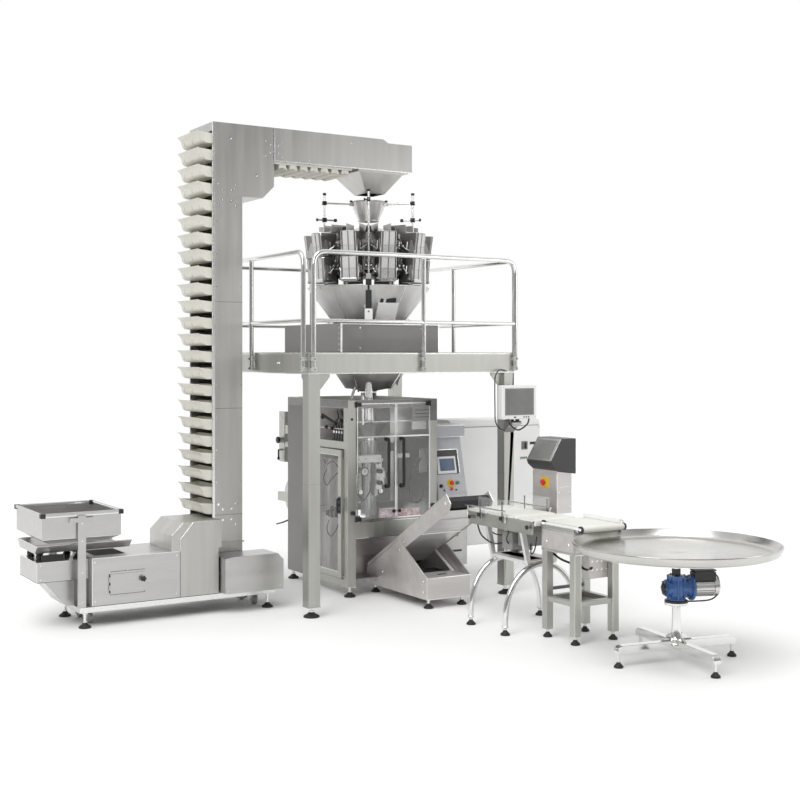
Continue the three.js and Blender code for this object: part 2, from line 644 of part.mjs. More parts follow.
// ---------------------------------------------------------------- bagging machine
function baggerFrame() {
  const b = BAGGER;
  const w = b.post;
  const xs = [b.left, b.right - w];
  const ys = [b.front, b.back - w];
  const pieces = [];
  for (const x of xs) {
    for (const y of ys) {
      pieces.push(block(x, x + w, y, y + w, b.foot - 2, b.top));
      pieces.push(...levellingFoot(x + w / 2, y + w / 2, b.foot, 48));
    }
  }
  const rail = b.rail;
  const across = (y, z0, z1) => block(b.left + 5, b.right - 5, y, y + rail, z0, z1);
  const along = (z0, z1) => [b.left, b.right - rail].map((x) => (
    block(x, x + rail, b.front + 5, b.back - 5, z0, z1)
  ));
  pieces.push(across(b.front, b.top - 70, b.top), across(b.back - rail, b.top - 70, b.top));
  pieces.push(across(b.back - rail, b.foot, b.foot + 60), across(b.front, 484, 621));
  pieces.push(...along(b.top - 70, b.top), ...along(b.foot, b.foot + 60), ...along(1229, 1293));
  for (const x of [b.left, b.right - 6]) pieces.push(block(x, x + 6, 442, b.back - 5, 130, b.top - 60));
  pieces.push(block(b.right - 6, b.right, b.front + 20, 450, 130, b.top - 60));
  for (const x of [b.left, b.right - 60]) pieces.push(block(x, x + 60, 240, 300, 130, 1240));
  pieces.push(block(b.left + 20, b.right - 20, 250, 290, 1150, 1225));
  pieces.push(block(b.left + 20, b.right - 20, 250, 290, 640, 700));
  for (const x of [b.left + 20, b.right - 60]) {
    pieces.push(block(x, x + 40, b.back - 20, 1010, 680, 760));
    pieces.push(block(x, x + 40, b.back - 20, 860, 1180, 1230));
  }
  return join(pieces, filmBrakeBox());
}

function sideDoor() {
  const x = BAGGER.left;
  const [y0, y1, z0, z1] = [-272, 232, 150, 1222];
  const rim = 46;
  const frame = block(x - 22, x - GAP - 2, y0, y1, z0, z1);
  const recess = block(x - 30, x - 14, y0 + rim, y1 - rim, z0 + rim, z1 - rim);
  const back = block(x - 10, x + 5, y0 + rim, y1 - rim, z0 + rim, z1 - rim);
  const grip = [block(x - 48, x - 20, y0 + 8, y0 + 26, 700, 820)];
  const knuckles = [420, 1010].map((z) => rod([x - 24, y1 + 6, z - 34], [x - 24, y1 + 6, z + 34], 9, 10));
  return join(cut(frame, recess, back), grip, knuckles);
}

// A clear sheet in front of the frame, with level stiffeners and a long bar handle. It turns on
// two knuckles at its outer edge.
const DOOR = { bottom: 636, top: 1612, pinY: BAGGER.front - 11, leftPin: -352, rightPin: 376 };
function frontDoor(x0, x1, handleX, hingeX) {
  const y = DOOR.pinY;
  const [z0, z1] = [DOOR.bottom, DOOR.top];
  const handle = tube(roundCorners([
    [handleX, y + 5, 905], [handleX, y - 50, 905], [handleX, y - 50, 1310], [handleX, y + 5, 1310],
  ], 20), 11, 6);
  const rails = [z0, 1322, z1 - 20].map((z) => block(x0, x1, y - 5, y + 4, z, z + 20));
  const knuckles = [z0 + 10, z1 - 10].map((z) => rod([hingeX, y, z - 24], [hingeX, y, z + 24], 7, 8));
  return join(block(x0, x1, y + 2, y + 8, z0, z1), handle, rails, knuckles);
}

function formingSet() {
  const { x, y } = AXIS;
  const sides = 16;
  const bore = rod([x, y, 600], [x, y, 1720], 64, sides);
  const shoulder = cut(
    rod([x, y, 1270], [x, y, 1400], 76, sides, 150),
    rod([x, y, 1330], [x, y, 1404], 70, sides, 140),
    block(x - 200, x + 200, y + 90, y + 300, 1200, 1500),
  );
  const bracket = block(x - 40, x + 40, y + 62, 250 - GAP, 1170, 1215);
  return cut(join(rod([x, y, 640], [x, y, 1690], 68, sides), shoulder, bracket), bore);
}

function pullBelt(side) {
  const { x, y } = AXIS;
  const inner = x + side * 76;
  const outer = x + side * 128;
  const [a, b] = side > 0 ? [inner, outer] : [outer, inner];
  const loop = join(
    block(a, b, y - 30, y + 30, 830, 1100),
    rod([(a + b) / 2, y - 30, 1100], [(a + b) / 2, y + 30, 1100], 26, 14),
    rod([(a + b) / 2, y - 30, 830], [(a + b) / 2, y + 30, 830], 26, 14),
  );
  const [armStart, armEnd] = side > 0 ? [b - 5, b + 60] : [a - 60, a + 5];
  const arm = block(armStart, armEnd, y - 20, y + 20, 940, 1000);
  const guide = block(side > 0 ? b + 30 : a - 60, side > 0 ? b + 60 : a - 30, y - 20, 232, 945, 995);
  return join(loop, arm, guide);
}

function verticalSealer() {
  const { x, y } = AXIS;
  return join(
    block(x - 14, x + 14, y - 130, y - 88, 800, 1140),
    block(x - 30, x + 30, y - 170, y - 125, 860, 1080),
    block(x + 24, x + 60, y - 165, y - 135, 900, 1040),
  );
}

function sealJaw(side) {
  const { x, y } = AXIS;
  const face = y + side * 40;
  const back = y + side * 105;
  const [a, b] = side > 0 ? [face, back] : [back, face];
  const body = block(x - 190, x + 190, a, b, 500, 570);
  const [ribStart, ribEnd] = side > 0 ? [b - 2, b + 40] : [a - 40, a + 2];
  const rib = block(x - 150, x + 150, ribStart, ribEnd, 515, 555);
  const ends = [-230, 190].map((dx) => block(x + dx, x + dx + 40, a + 8, b - 8, 505, 565));
  return join(body, rib, ends);
}

function filmRoll() {
  const [y, z] = [930, 720];
  return join(
    rod([-300, y, z], [280, y, z], 165, 28),
    rod([-370 + GAP, y, z], [394 - GAP, y, z], 20, 12),
  );
}

function dancerArm() {
  const [y, z] = [835, 1244];
  const cheeks = [-330, 320].map((x) => block(x, x + 14, y - 12, y + 12, 1050, z));
  return join(
    cheeks,
    rod([-370 + GAP, y, z], [394 - GAP, y, z], 13, 10),
    rod([-325, y, 1070], [329, y, 1070], 22, 12),
  );
}

// A box behind the frame holds the film brake, with its knob and lever on the left.
function filmBrakeBox() {
  const x = BAGGER.left;
  const y = 925;
  return [
    block(x + 20, x + 58, y - 55, y + 55, 1040, 1500),
    block(x + 24, x + 50, BAGGER.back - 10, y - 50, 1300, 1380),
    rod([x + 21, y, 1240], [x - 8, y, 1240], 26, 12),
    rod([x + 21, y, 1150], [x - 10, y, 1150], 10, 8),
  ];
}

function controlConsole() {
  const c = CONSOLE;
  const outline = [
    [c.front, c.bottom], [c.back, c.bottom], [c.back, c.top], [c.front + 40, c.top],
    [c.front + 40, c.top - 104], FACE.head, FACE.foot, [c.front, FACE.foot[1] - 18],
  ];
  const bracket = block(BAGGER.right + GAP, c.left + 5, c.front + 60, c.back - 20, 300, 1250);
  const pockets = BUTTONS.map(({ x, along, radius }) => (
    rod([x, ...facePoint(along, 5)], [x, ...facePoint(along, -30)], radius * 0.6 + 2, 10)
  ));
  return cut(join(prism('yz', outline, c.left, c.right), bracket), pockets);
}

// Controls sit on the sloping face of the console: place gives [across, along the slope].
const FACE = { foot: [CONSOLE.front + 8, 830], head: [CONSOLE.front + 112, CONSOLE.top - 112] };
function facePoint(along, lift) {
  const [y0, z0] = FACE.foot;
  const [y1, z1] = FACE.head;
  const length = Math.hypot(y1 - y0, z1 - z0);
  const [ty, tz] = [(y1 - y0) / length, (z1 - z0) / length];
  return [y0 + ty * along - tz * lift, z0 + tz * along + ty * lift];
}

const BUTTONS = [
  { name: 'console_estop', x: 600, along: 70, radius: 20, height: 22, finish: 'red' },
  { name: 'console_start', x: 670, along: 70, radius: 15, height: 9, finish: 'green' },
  { name: 'console_stop', x: 600, along: 18, radius: 13, height: 9, finish: 'red' },
];

// A push button: its stem slides in a pocket of the console.
function pushButton({ x, along, radius, height }) {
  const at = (lift) => [x, ...facePoint(along, lift)];
  return join(rod(at(-18), at(height), radius * 0.6, 10), rod(at(height - 1), at(height + 10), radius, 14));
}

function electricalCabinet() {
  const c = CABINET;
  const outline = [
    [c.front, c.bottom], [c.back, c.bottom], [c.back, c.top - 40], [c.back - 50, c.top],
    [c.front + 50, c.top], [c.front + 14, c.top - 12], [c.front, c.top - 50],
  ];
  const hollow = block(c.left + 40, c.right - 40, c.front - 20, c.back - 20, c.bottom + 40, c.top - 110);
  const shelf = block(c.left + 60, c.right - 60, c.front + 250, c.back - 10, c.bottom + 200, c.bottom + 330);
  const arms = [360, 900].map((z) => block(BAGGER.right + GAP, c.left + 5, 180, 240, z, z + 60));
  return join(cut(prism('yz', outline, c.left, c.right), cut(hollow, shelf)), arms);
}

function cabinetDoor() {
  const c = CABINET;
  const y = c.front - GAP;
  return join(
    block(c.left + 12, c.right - 12, y - 20, y, c.bottom + 14, c.top - 70),
    block(c.left + 60, c.left + 84, y - 34, y - 18, 760, 900),
    [460, 1180].map((z) => rod([c.right - 8, y - 14, z - 30], [c.right - 8, y - 14, z + 30], 8, 10)),
  );
}

function productFunnel() {
  const { x, y } = AXIS;
  const outer = [[0, 1700], [72, 1700], [72, 1708], [205, 1730], [318, 1900], [318, 2262], [0, 2262]];
  const inner = [[0, 1680], [66, 1680], [66, 1712], [200, 1735], [312, 1904], [312, 2300], [0, 2300]];
  const shape = (profile) => lathe(profile, 20, x, y, 0);
  const lugs = [0, Math.PI].map((a) => radialBlock(AXIS, a, 314, 329, 60, 2200, 2240));
  return join(cut(shape(outer), shape(inner)), lugs);
}

// ---------------------------------------------------------------- take-off conveyor
// Roller axles of the take-off conveyor, as [y, z].
const TAKEOFF_SHAFTS = [[TAKEOFF.rear - 90, 190], [-760, 500], [TAKEOFF.tip + 60, TAKEOFF.top - 60]];
function takeoffFrame() {
  const t = TAKEOFF;
  const incline = [
    [t.rear - 40, 130], [t.rear - 10, 235], [t.tip + 60, t.top + 10], [t.tip, t.top - 60],
    [t.tip + 30, t.top - 130],
  ];
  const plates = [t.left, t.right - t.plate].map((x) => prism('yz', incline, x, x + t.plate));
  const skirt = [
    [t.rear, 72], [t.rear - 10, 200], [-680, 500], [-820, 420], [-1080, 264], [t.front, 250], [t.front, 72],
  ];
  const skirts = [t.left - 6, t.right + 2].map((x) => prism('yz', skirt, x, x + 8));
  const nose = block(t.left - 6, t.right + 10, t.front, -870, 72, 240);
  const shafts = TAKEOFF_SHAFTS.map(([y, z]) => rod([t.left + 2, y, z], [t.right - 2, y, z], 14, 12));
  const tie = block(t.left, t.right, -480, -440, 78, 118);
  const railX = [t.left + 40, t.right - 40];
  const rails = railX.map((x) => block(x - 20, x + 20, t.front + 20, -180, 72, 110));
  const feet = railX.flatMap((x) => [t.front + 50, -230].flatMap((y) => levellingFoot(x, y, 74, 38)));
  return join(plates, skirts, nose, shafts, tie, rails, feet);
}

function takeoffBelt() {
  const t = TAKEOFF;
  const outline = [
    [t.rear - 50, 215], [t.tip + 62, t.top - 16], [t.tip + 28, t.top - 46], [t.tip + 42, t.top - 100],
    [t.rear - 62, 145],
  ];
  const [x0, x1] = [t.left + t.plate + 8, t.right - t.plate - 8];
  const slab = prism('yz', outline, x0, x1);
  const holes = TAKEOFF_SHAFTS.map(([y, z]) => rod([x0 - 30, y, z], [x1 + 30, y, z], 16, 12));
  return cut(slab, holes);
}

// ---------------------------------------------------------------- checkweigher
function bowLeg(y) {
  const c = CHECK;
  const middle = (c.left + c.right) / 2 - 20;
  const [half, high, steps] = [325, 440, 12];
  const points = [];
  for (let i = 0; i <= steps; i += 1) {
    const angle = Math.PI * i / steps;
    points.push([middle - half * Math.cos(angle), y, 45 + high * Math.sin(angle) ** 0.8]);
  }
  const feet = [-half, half].flatMap((dx) => levellingFoot(middle + dx, y, 50, 34));
  return [tube(points, 21, 6), ...feet];
}

function checkFrame() {
  const c = CHECK;
  const z = c.beltTop;
  const sides = [c.left, c.right - 12].map((x) => block(x, x + 12, c.front, c.rear, z - 110, z - 20));
  const [tieStart, tieEnd] = [c.left + 5, c.right - 5];
  const ties = [-1560, -1890, -2230].map((y) => block(tieStart, tieEnd, y - 15, y + 15, z - 105, z - 60));
  const taper = (top, foot, zTop, zFoot) => [
    [c.left + top, zTop], [c.right - top, zTop], [c.right - foot, zFoot], [c.left + foot, zFoot],
  ];
  const cradle = [-1700, -2130].map((y) => cut(
    prism('xz', taper(10, 70, z - 104, 478), y - 14, y + 14),
    prism('xz', taper(52, 100, z - 130, 515), y - 20, y + 20),
  ));
  const spine = block((c.left + c.right) / 2 - 70, (c.left + c.right) / 2 + 40, -2160, -1680, 470, 512);
  const bracket = block(c.right - 14, c.right + 150, -1890, -1600, z - 100, z - 40);
  return join(sides, ties, cradle, spine, bracket, bowLeg(-1730), bowLeg(-2160));
}

function checkBelt() {
  const c = CHECK;
  const [y0, y1] = [c.front - 20, c.rear + 40];
  const [x0, x1] = [c.left + 16, c.right - 16];
  const z = c.beltTop;
  const r = 26;
  const slab = block(x0, x1, y0 + r, y1 - r, z - 2 * r, z);
  const ends = [y0 + r, y1 - r].map((y) => rod([x0, y, z - r], [x1, y, z - r], r, 12));
  return join(slab, ends);
}

const STOP = { y: -1747, z: 1030 };
function checkHead() {
  const [y0, y1] = [-1900, -1600];
  const foot = CHECK.beltTop - 40 + GAP;
  const outline = [[478, 1198], [490, 1165], [545, 1120], [720, 1098], [720, 1372], [587, 1372]];
  const head = prism('xz', outline, y0 - 6, y1 + 6);
  const pocket = rod([530, STOP.y, STOP.z], [537 + 40, STOP.y, STOP.z], 16, 10);
  return cut(join(block(537, 680, y0, y1, foot, 1140), head), pocket);
}

// The checkweigher's mushroom stop button, on the left face of its column.
function checkStop() {
  const at = (x) => [x, STOP.y, STOP.z];
  return join(rod(at(537 - 16), at(537 + 22), 13, 10), rod(at(537 - 28), at(537 - 15), 24, 14));
}

// ---------------------------------------------------------------- transfer conveyor
function transferFrame() {
  const t = TRANSFER;
  const w = t.tube;
  const legs = [];
  for (const x of [t.left, t.right - w]) {
    for (const y of [t.front, t.rear - w]) {
      legs.push(block(x, x + w, y, y + w, 58, t.top - 30));
      legs.push(...levellingFoot(x + w / 2, y + w / 2, 60, 32));
    }
  }
  const bars = [];
  const [low, high] = [262, 296];
  for (const y of [t.front, t.rear - w]) {
    bars.push(block(t.left + 5, t.right - 5, y + 6, y + w - 6, low, high));
  }
  for (const x of [t.left, t.right - w]) {
    bars.push(block(x + 6, x + w - 6, t.front + 5, t.rear - 5, low, high));
  }
  const housing = cut(
    block(t.left - 4, t.right + 4, t.front - 4, t.rear + 4, 622, t.top - 26),
    block(t.left + 6, t.right - 6, t.front + 6, t.rear - 6, 600, t.top),
  );
  const ties = [t.front + 100, t.rear - 130].map((y) => block(t.left, t.right, y, y + 26, 640, 680));
  const motor = [
    block(t.left + 180, t.left + 395, t.front + 60, t.front + 200, 440, 640),
    block(t.left + 220, t.left + 300, t.front + 90, t.front + 130, 630, 670),
  ];
  const [guideFoot, guideTop] = [t.top - 30, t.top + 6];
  const guides = [t.left - 3, t.right - 9].map((x) => (
    block(x, x + 12, t.front + 8, t.rear, guideFoot, guideTop)
  ));
  return join(legs, bars, housing, ties, motor, guides);
}

function transferBelt() {
  const t = TRANSFER;
  const [x0, x1, r] = [t.left + 14, t.right - 14, 22];
  const [y0, y1] = [t.front - 80, t.rear + 12];
  const z = t.top + 22;
  const slab = block(x0, x1, y0 + r, y1 - r, z - 2 * r, z);
  return join(slab, [y0 + r, y1 - r].map((y) => rod([x0, y, z - r], [x1, y, z - r], r, 12)));
}

// ---------------------------------------------------------------- rotary collecting table
function rotaryDisc() {
  const d = DISC;
  const wall = 4;
  const profile = [
    [0, d.floor - wall], [d.radius - 42, d.floor - wall], [d.radius - 18, d.floor + 6],
    [d.radius, d.rim - 10], [d.radius, d.rim], [d.radius - 12, d.rim], [d.radius - 30, d.floor + 16],
    [d.radius - 46, d.floor], [0, d.floor],
  ];
  const dish = lathe(profile, 40, d.x, d.y, 0);
  const hub = rod([d.x, d.y, d.floor - 24], [d.x, d.y, d.floor - wall + 1], 90, 20);
  const shaft = rod([d.x, d.y, d.shaftFoot], [d.x, d.y, d.floor - 20], 20, 14);
  return join(dish, hub, shaft);
}

function rotaryDrive() {
  const { x, y } = DISC;
  const [z, box] = [DISC.drive, 62];
  const along = new THREE.Vector3(0.93, -0.37, 0);
  const at = (reach, height = 0) => [x + along.x * reach, y + along.y * reach, z + height];
  return join(
    rod([x, y, z - 78], [x, y, z + 84], 66, 12),
    rod([x, y, z + 80], [x, y, DISC.shaftFoot - GAP], 30, 12),
    rod(at(-88), at(96), 58, 12),
    rod(at(90), at(110), 84, 16),
    rod(at(108), at(262), 62, 14),
    rod(at(258), at(286), 54, 14),
    rod(at(130, 66), at(250, 66), 28, 10),
    block(x - box - 14, x + box + 14, y - box, y + box, z - 92, z - 76),
  );
}

function rotaryPedestal() {
  const { x, y } = DISC;
  const turn = -10.5 * Math.PI / 180;
  const pieces = [
    rod([x, y, 120], [x, y, 392.5], 28, 16),
    rod([x, y, 376], [x, y, 392.5], 78, 18),
    rod([x, y, 118], [x, y, 152], 62, 18, 34),
  ];
  for (let i = 0; i < 4; i += 1) {
    const angle = turn + i * Math.PI / 2;
    const out = [Math.cos(angle), Math.sin(angle)];
    pieces.push(radialBlock({ x, y }, angle, -10, 455, 56, 86, 142));
    pieces.push(...levellingFoot(x + out[0] * 435, y + out[1] * 435, 94, 30));
  }
  return join(pieces);
}

// ---------------------------------------------------------------- assembly
add('elevator_casing', elevatorCasing(), 'steel');
add('bucket_chain', bucketChain(), 'bucket');
add('elevator_housing', elevatorHousing(), 'steel');
add('elevator_access_door', elevatorDoor(), 'steel');
add('elevator_drive_box', driveBox(), 'steel');
add('infeed_hopper', infeedHopper(), 'steel');
add('vibratory_tray', vibratoryTray(), 'steel');
add('discharge_funnel', dischargeFunnel(), 'steel');

add('weigher_base', weigherBase(), 'grey');
add('weigher_body', weigherBody(), 'steel');
add('distribution_cone', distributionCone(), 'steel');
add('hopper_bank', hopperBank(), 'steel');
for (let i = 0; i < HEADS; i += 1) add(`weigh_gate_${i + 1}`, weighGate(i), 'steel');
add('collating_chutes', collatingChutes(), 'steel');
add('feed_stand', feedStand(), 'polished');

add('platform_frame', platformFrame(), 'frame');
add('deck_plate', deckPlate(), 'frame');
for (const [name, panel] of Object.entries(railPanels())) {
  add(`handrail_${name}`, handrail(panel.route, panel.posts), 'polished');
}
add('weigher_display', weigherDisplay(), 'white');

add('bagger_frame', baggerFrame(), 'frame');
add('side_door', sideDoor(), 'frame');
add('front_door_left', frontDoor(-350, 30, -66, DOOR.leftPin), 'clear');
add('front_door_right', frontDoor(34, 374, 82, DOOR.rightPin), 'clear');
add('product_funnel', productFunnel(), 'steel');
add('forming_tube', formingSet(), 'polished');
add('pull_belt_left', pullBelt(-1), 'black');
add('pull_belt_right', pullBelt(1), 'black');
add('vertical_sealer', verticalSealer(), 'steel');
add('seal_jaw_front', sealJaw(-1), 'steel');
add('seal_jaw_rear', sealJaw(1), 'steel');
add('film_roll', filmRoll(), 'film');
add('dancer_arm', dancerArm(), 'steel');
add('control_console', controlConsole(), 'steel');
for (const button of BUTTONS) add(button.name, pushButton(button), button.finish);
add('electrical_cabinet', electricalCabinet(), 'white');
add('cabinet_door', cabinetDoor(), 'white');

add('takeoff_frame', takeoffFrame(), 'steel');
add('takeoff_belt', takeoffBelt(), 'darkBelt');
add('checkweigher_frame', checkFrame(), 'frame');
add('checkweigher_belt', checkBelt(), 'belt');
add('checkweigher_head', checkHead(), 'grey');
add('checkweigher_estop', checkStop(), 'red');
add('transfer_frame', transferFrame(), 'frame');
add('transfer_belt', transferBelt(), 'belt');
add('rotary_disc', rotaryDisc(), 'polished');
add('rotary_drive', rotaryDrive(), 'blue');
add('rotary_pedestal', rotaryPedestal(), 'frame');

export default line;
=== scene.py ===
"""Looks of a vertical form, fill and seal packaging line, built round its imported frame."""
import random
from math import cos, pi, radians, sin
from types import SimpleNamespace as Sizes

import bmesh
import bpy
from mathutils import Matrix, Vector


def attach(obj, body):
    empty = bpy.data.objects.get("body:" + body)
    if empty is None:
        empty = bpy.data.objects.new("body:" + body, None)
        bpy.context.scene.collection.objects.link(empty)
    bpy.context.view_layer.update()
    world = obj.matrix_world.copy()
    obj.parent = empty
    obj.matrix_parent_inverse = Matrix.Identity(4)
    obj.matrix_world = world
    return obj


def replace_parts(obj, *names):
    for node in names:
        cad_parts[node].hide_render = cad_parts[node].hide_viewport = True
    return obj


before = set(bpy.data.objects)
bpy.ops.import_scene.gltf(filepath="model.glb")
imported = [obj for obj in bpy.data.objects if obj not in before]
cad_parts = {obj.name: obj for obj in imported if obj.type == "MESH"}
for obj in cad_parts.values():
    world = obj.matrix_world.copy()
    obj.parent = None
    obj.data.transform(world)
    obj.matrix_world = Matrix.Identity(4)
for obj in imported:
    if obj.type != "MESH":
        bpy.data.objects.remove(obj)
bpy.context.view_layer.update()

# ---------------------------------------------------------------- layout
# The machines stand on a layout grid in millimetres. SITE is the grid's origin in the frame.
MM = 0.001
SITE = Vector((0.605, 1.4825, 0.0))
MAIN = "line_frame"
# The upright axis of the weigher and of the forming tube below it, and the way to its front strut.
AXIS = (-20, 10)
STRUT_ANGLE = -2.097
HEADS = 10
HEAD_STEP = 2 * pi / HEADS
ORIGIN = (0, 0, 0)
RIGHT, BACK, UP = (1, 0, 0), (0, 1, 0), (0, 0, 1)
LEFT, FRONT, DOWN = (-1, 0, 0), (0, -1, 0), (0, 0, -1)


def site(x, y, z):
    return SITE + Vector((x, y, z)) * MM


def head_angle(i):
    return STRUT_ANGLE + (i + 0.5) * HEAD_STEP


# ---------------------------------------------------------------- materials
def new_material(name, slot):
    material = bpy.data.materials.new(name)
    material.use_nodes = True
    material["slot"] = slot
    tree = material.node_tree
    return material, tree, tree.nodes["Principled BSDF"]


def noise(tree, scale, detail=3.0, size=1.0):
    """Noise over the object's own place in metres, stretched by a scale for each axis."""
    place = tree.nodes.new("ShaderNodeTexCoord")
    stretch = tree.nodes.new("ShaderNodeMapping")
    stretch.inputs["Scale"].default_value = scale
    texture = tree.nodes.new("ShaderNodeTexNoise")
    texture.inputs["Scale"].default_value = size
    texture.inputs["Detail"].default_value = detail
    tree.links.new(place.outputs["Object"], stretch.inputs["Vector"])
    tree.links.new(stretch.outputs["Vector"], texture.inputs["Vector"])
    return texture.outputs["Fac"]


def spread(tree, value, low, high):
    """Maps the middle of a noise's range to low and high."""
    steps = tree.nodes.new("ShaderNodeMapRange")
    steps.inputs["From Min"].default_value = 0.3
    steps.inputs["From Max"].default_value = 0.7
    steps.inputs["To Min"].default_value = low
    steps.inputs["To Max"].default_value = high
    tree.links.new(value, steps.inputs["Value"])
    return steps.outputs["Result"]


def tint(colour, factor):
    return tuple(min(1.0, c * factor) for c in colour[:3]) + (1.0,)


def two_tone(tree, value, colour, change, other=None):
    """Colour that drifts between a darker and a lighter tone with a noise value."""
    mix = tree.nodes.new("ShaderNodeMix")
    mix.data_type = "RGBA"
    mix.inputs["A"].default_value = tint(colour, 1 - change)
    mix.inputs["B"].default_value = tint(other or colour, 1 + change)
    tree.links.new(spread(tree, value, 0.0, 1.0), mix.inputs["Factor"])
    return mix.outputs["Result"]


def relief(tree, value, strength, depth=0.001):
    bump = tree.nodes.new("ShaderNodeBump")
    bump.inputs["Strength"].default_value = strength
    bump.inputs["Distance"].default_value = depth
    tree.links.new(value, bump.inputs["Height"])
    return bump.outputs["Normal"]


def surface(name, slot, colour, rough, metal=0.0, change=0.05, streak=(4, 4, 4), grain=(300, 300, 300),
            rough_change=0.06, bump=0.08, coat=0.0, alpha=1.0, other=None):
    """A material with broad drifts of colour, and a fine grain in its gloss and relief."""
    material, tree, shader = new_material(name, slot)
    broad = noise(tree, streak)
    fine = noise(tree, grain, detail=2.0)
    link = tree.links.new
    link(two_tone(tree, broad, colour, change, other), shader.inputs["Base Color"])
    both = tree.nodes.new("ShaderNodeMath")
    both.operation = "ADD"
    link(spread(tree, fine, rough - rough_change, rough + rough_change), both.inputs[0])
    link(spread(tree, broad, -rough_change / 2, rough_change / 2), both.inputs[1])
    link(both.outputs["Value"], shader.inputs["Roughness"])
    link(relief(tree, fine, bump, 0.0006), shader.inputs["Normal"])
    shader.inputs["Metallic"].default_value = metal
    shader.inputs["Coat Weight"].default_value = coat
    shader.inputs["Alpha"].default_value = alpha
    return material


UPRIGHT = {"streak": (14, 14, 0.9), "grain": (700, 700, 14)}
LEVEL = {"streak": (1.2, 14, 14), "grain": (14, 700, 700)}

STEEL = surface("steel_sheet", "stainless_sheet", (0.546, 0.541, 0.519), 0.36, 1.0, 0.07, **UPRIGHT)
STEEL_LEVEL = surface("steel_sheet_level", "stainless_sheet", (0.576, 0.572, 0.562), 0.34, 1.0, 0.06, **LEVEL)
STEEL_WARM = surface("steel_sheet_warm", "stainless_sheet", (0.66, 0.63, 0.615), 0.4, 0.75, 0.07, **LEVEL)
STEEL_DARK = surface("steel_dark", "stainless_sheet", (0.27, 0.265, 0.26), 0.42, 1.0, 0.12, **LEVEL)
FRAME_STEEL = surface("frame_steel", "stainless_frame", (0.53, 0.53, 0.495), 0.42, 1.0, 0.06, **UPRIGHT)
BEAM_STEEL = surface("beam_steel", "stainless_frame", (0.502, 0.502, 0.47), 0.42, 1.0, 0.06, **LEVEL)
CHUTE = surface("chute_sheet", "stainless_sheet", (0.80, 0.795, 0.785), 0.5, 0.7, 0.06, **UPRIGHT)
PAN = surface("pan_sheet", "stainless_sheet", (0.84, 0.83, 0.82), 0.45, 0.8, 0.06, **LEVEL)
TUBE = surface("polished_tube", "stainless_tube", (0.80, 0.80, 0.785), 0.14, 1.0, 0.03, bump=0.02)
DISH = surface("spun_disc", "stainless_tube", (0.60, 0.595, 0.57), 0.26, 1.0, 0.06, bump=0.03)
# A lighter, glossier copy of the steel: painted highlight along folds, lips, rims, welds and trims that the
# machines really have.
HIGHLIGHT_STEEL = surface("steel_painted_highlight", "stainless_sheet", (0.86, 0.86, 0.85), 0.25, 1.0, 0.03)
GREY = surface("grey_cover", "grey_cover", (0.235, 0.228, 0.225), 0.45, 0.0, 0.06, coat=0.15)
CONSOLE_GREY = surface("console_cover", "stainless_sheet", (0.504, 0.51, 0.54), 0.4, 0.0, 0.05, coat=0.2)
CHARCOAL = surface("charcoal_cover", "dark_cover", (0.045, 0.045, 0.048), 0.42, 0.0, 0.1, coat=0.1)
WHITE = surface("white_cover", "white_cover", (0.90, 0.90, 0.89), 0.42, 0.0, 0.02, coat=0.2)
CUP = surface("bucket_plastic", "bucket_plastic", (0.70, 0.69, 0.62), 0.5, 0.0, 0.05, streak=(9, 3, 9),
              coat=0.1)
RUBBER = surface("black_rubber", "black_plastic", (0.018, 0.018, 0.018), 0.6, 0.0, 0.25)
BLACK = surface("black_plastic", "black_plastic", (0.022, 0.022, 0.024), 0.38, 0.0, 0.2)
HOSE = surface("black_hose", "black_plastic", (0.03, 0.03, 0.032), 0.3, 0.0, 0.2)
BLUE = surface("gear_enamel", "gear_blue", (0.035, 0.115, 0.33), 0.32, 0.1, 0.14, bump=0.15, coat=0.4)
MOTOR = surface("motor_casting", "stainless_frame", (0.38, 0.38, 0.37), 0.5, 0.6, 0.1, bump=0.2)
RED = surface("button_red", "button_red", (0.62, 0.02, 0.015), 0.25, 0.0, 0.1, coat=0.5)
GREEN = surface("button_green", "button_green", (0.01, 0.26, 0.10), 0.3, 0.0, 0.1, coat=0.5)
YELLOW = surface("yellow_plate", "button_red", (0.78, 0.52, 0.05), 0.4, 0.0, 0.06)
PLATE = surface("machined_plate", "cast_plate", (0.66, 0.655, 0.64), 0.3, 1.0, 0.05, bump=0.1)
BRASS = surface("brass_jaw", "cast_plate", (0.62, 0.42, 0.17), 0.32, 1.0, 0.08)
WHITE_BELT = surface("white_belt", "belt_white", (0.78, 0.78, 0.73), 0.5, 0.0, 0.04, grain=(900, 120, 900))
DARK_BELT = surface("dark_belt", "belt_dark", (0.03, 0.03, 0.032), 0.6, 0.0, 0.3, grain=(900, 400, 400))
GLAZING = surface("clear_sheet", "clear_sheet", (0.96, 0.97, 0.97), 0.06, 0.0, 0.02, alpha=0.1)
FILM = surface("clear_film", "film_wrap", (0.93, 0.94, 0.95), 0.16, 0.0, 0.03, alpha=0.3)
ROLL = surface("wound_film", "film_wrap", (0.78, 0.80, 0.82), 0.22, 0.0, 0.04, streak=(1, 60, 60), coat=0.3)
SCREEN_GREY = surface("screen_grey", "white_cover", (0.19, 0.195, 0.185), 0.3, 0.0, 0.2, coat=0.1)
SCREEN_BLUE = surface("screen_blue", "white_cover", (0.085, 0.125, 0.21), 0.3, 0.0, 0.25, coat=0.1)
# Near black: painted shade for hollows, gaps and insides, and the colour of the real dark joints between
# sheets.
SHADE_AND_JOINT_BLACK = surface("painted_shade_and_joint_black", "black_plastic", (0.012, 0.012, 0.012), 0.8, 0.0, 0.3)
PINK = surface("pink_strip", "white_cover", (0.85, 0.33, 0.35), 0.5, 0.0, 0.3, streak=(60, 60, 60),
               other=(0.85, 0.80, 0.78))


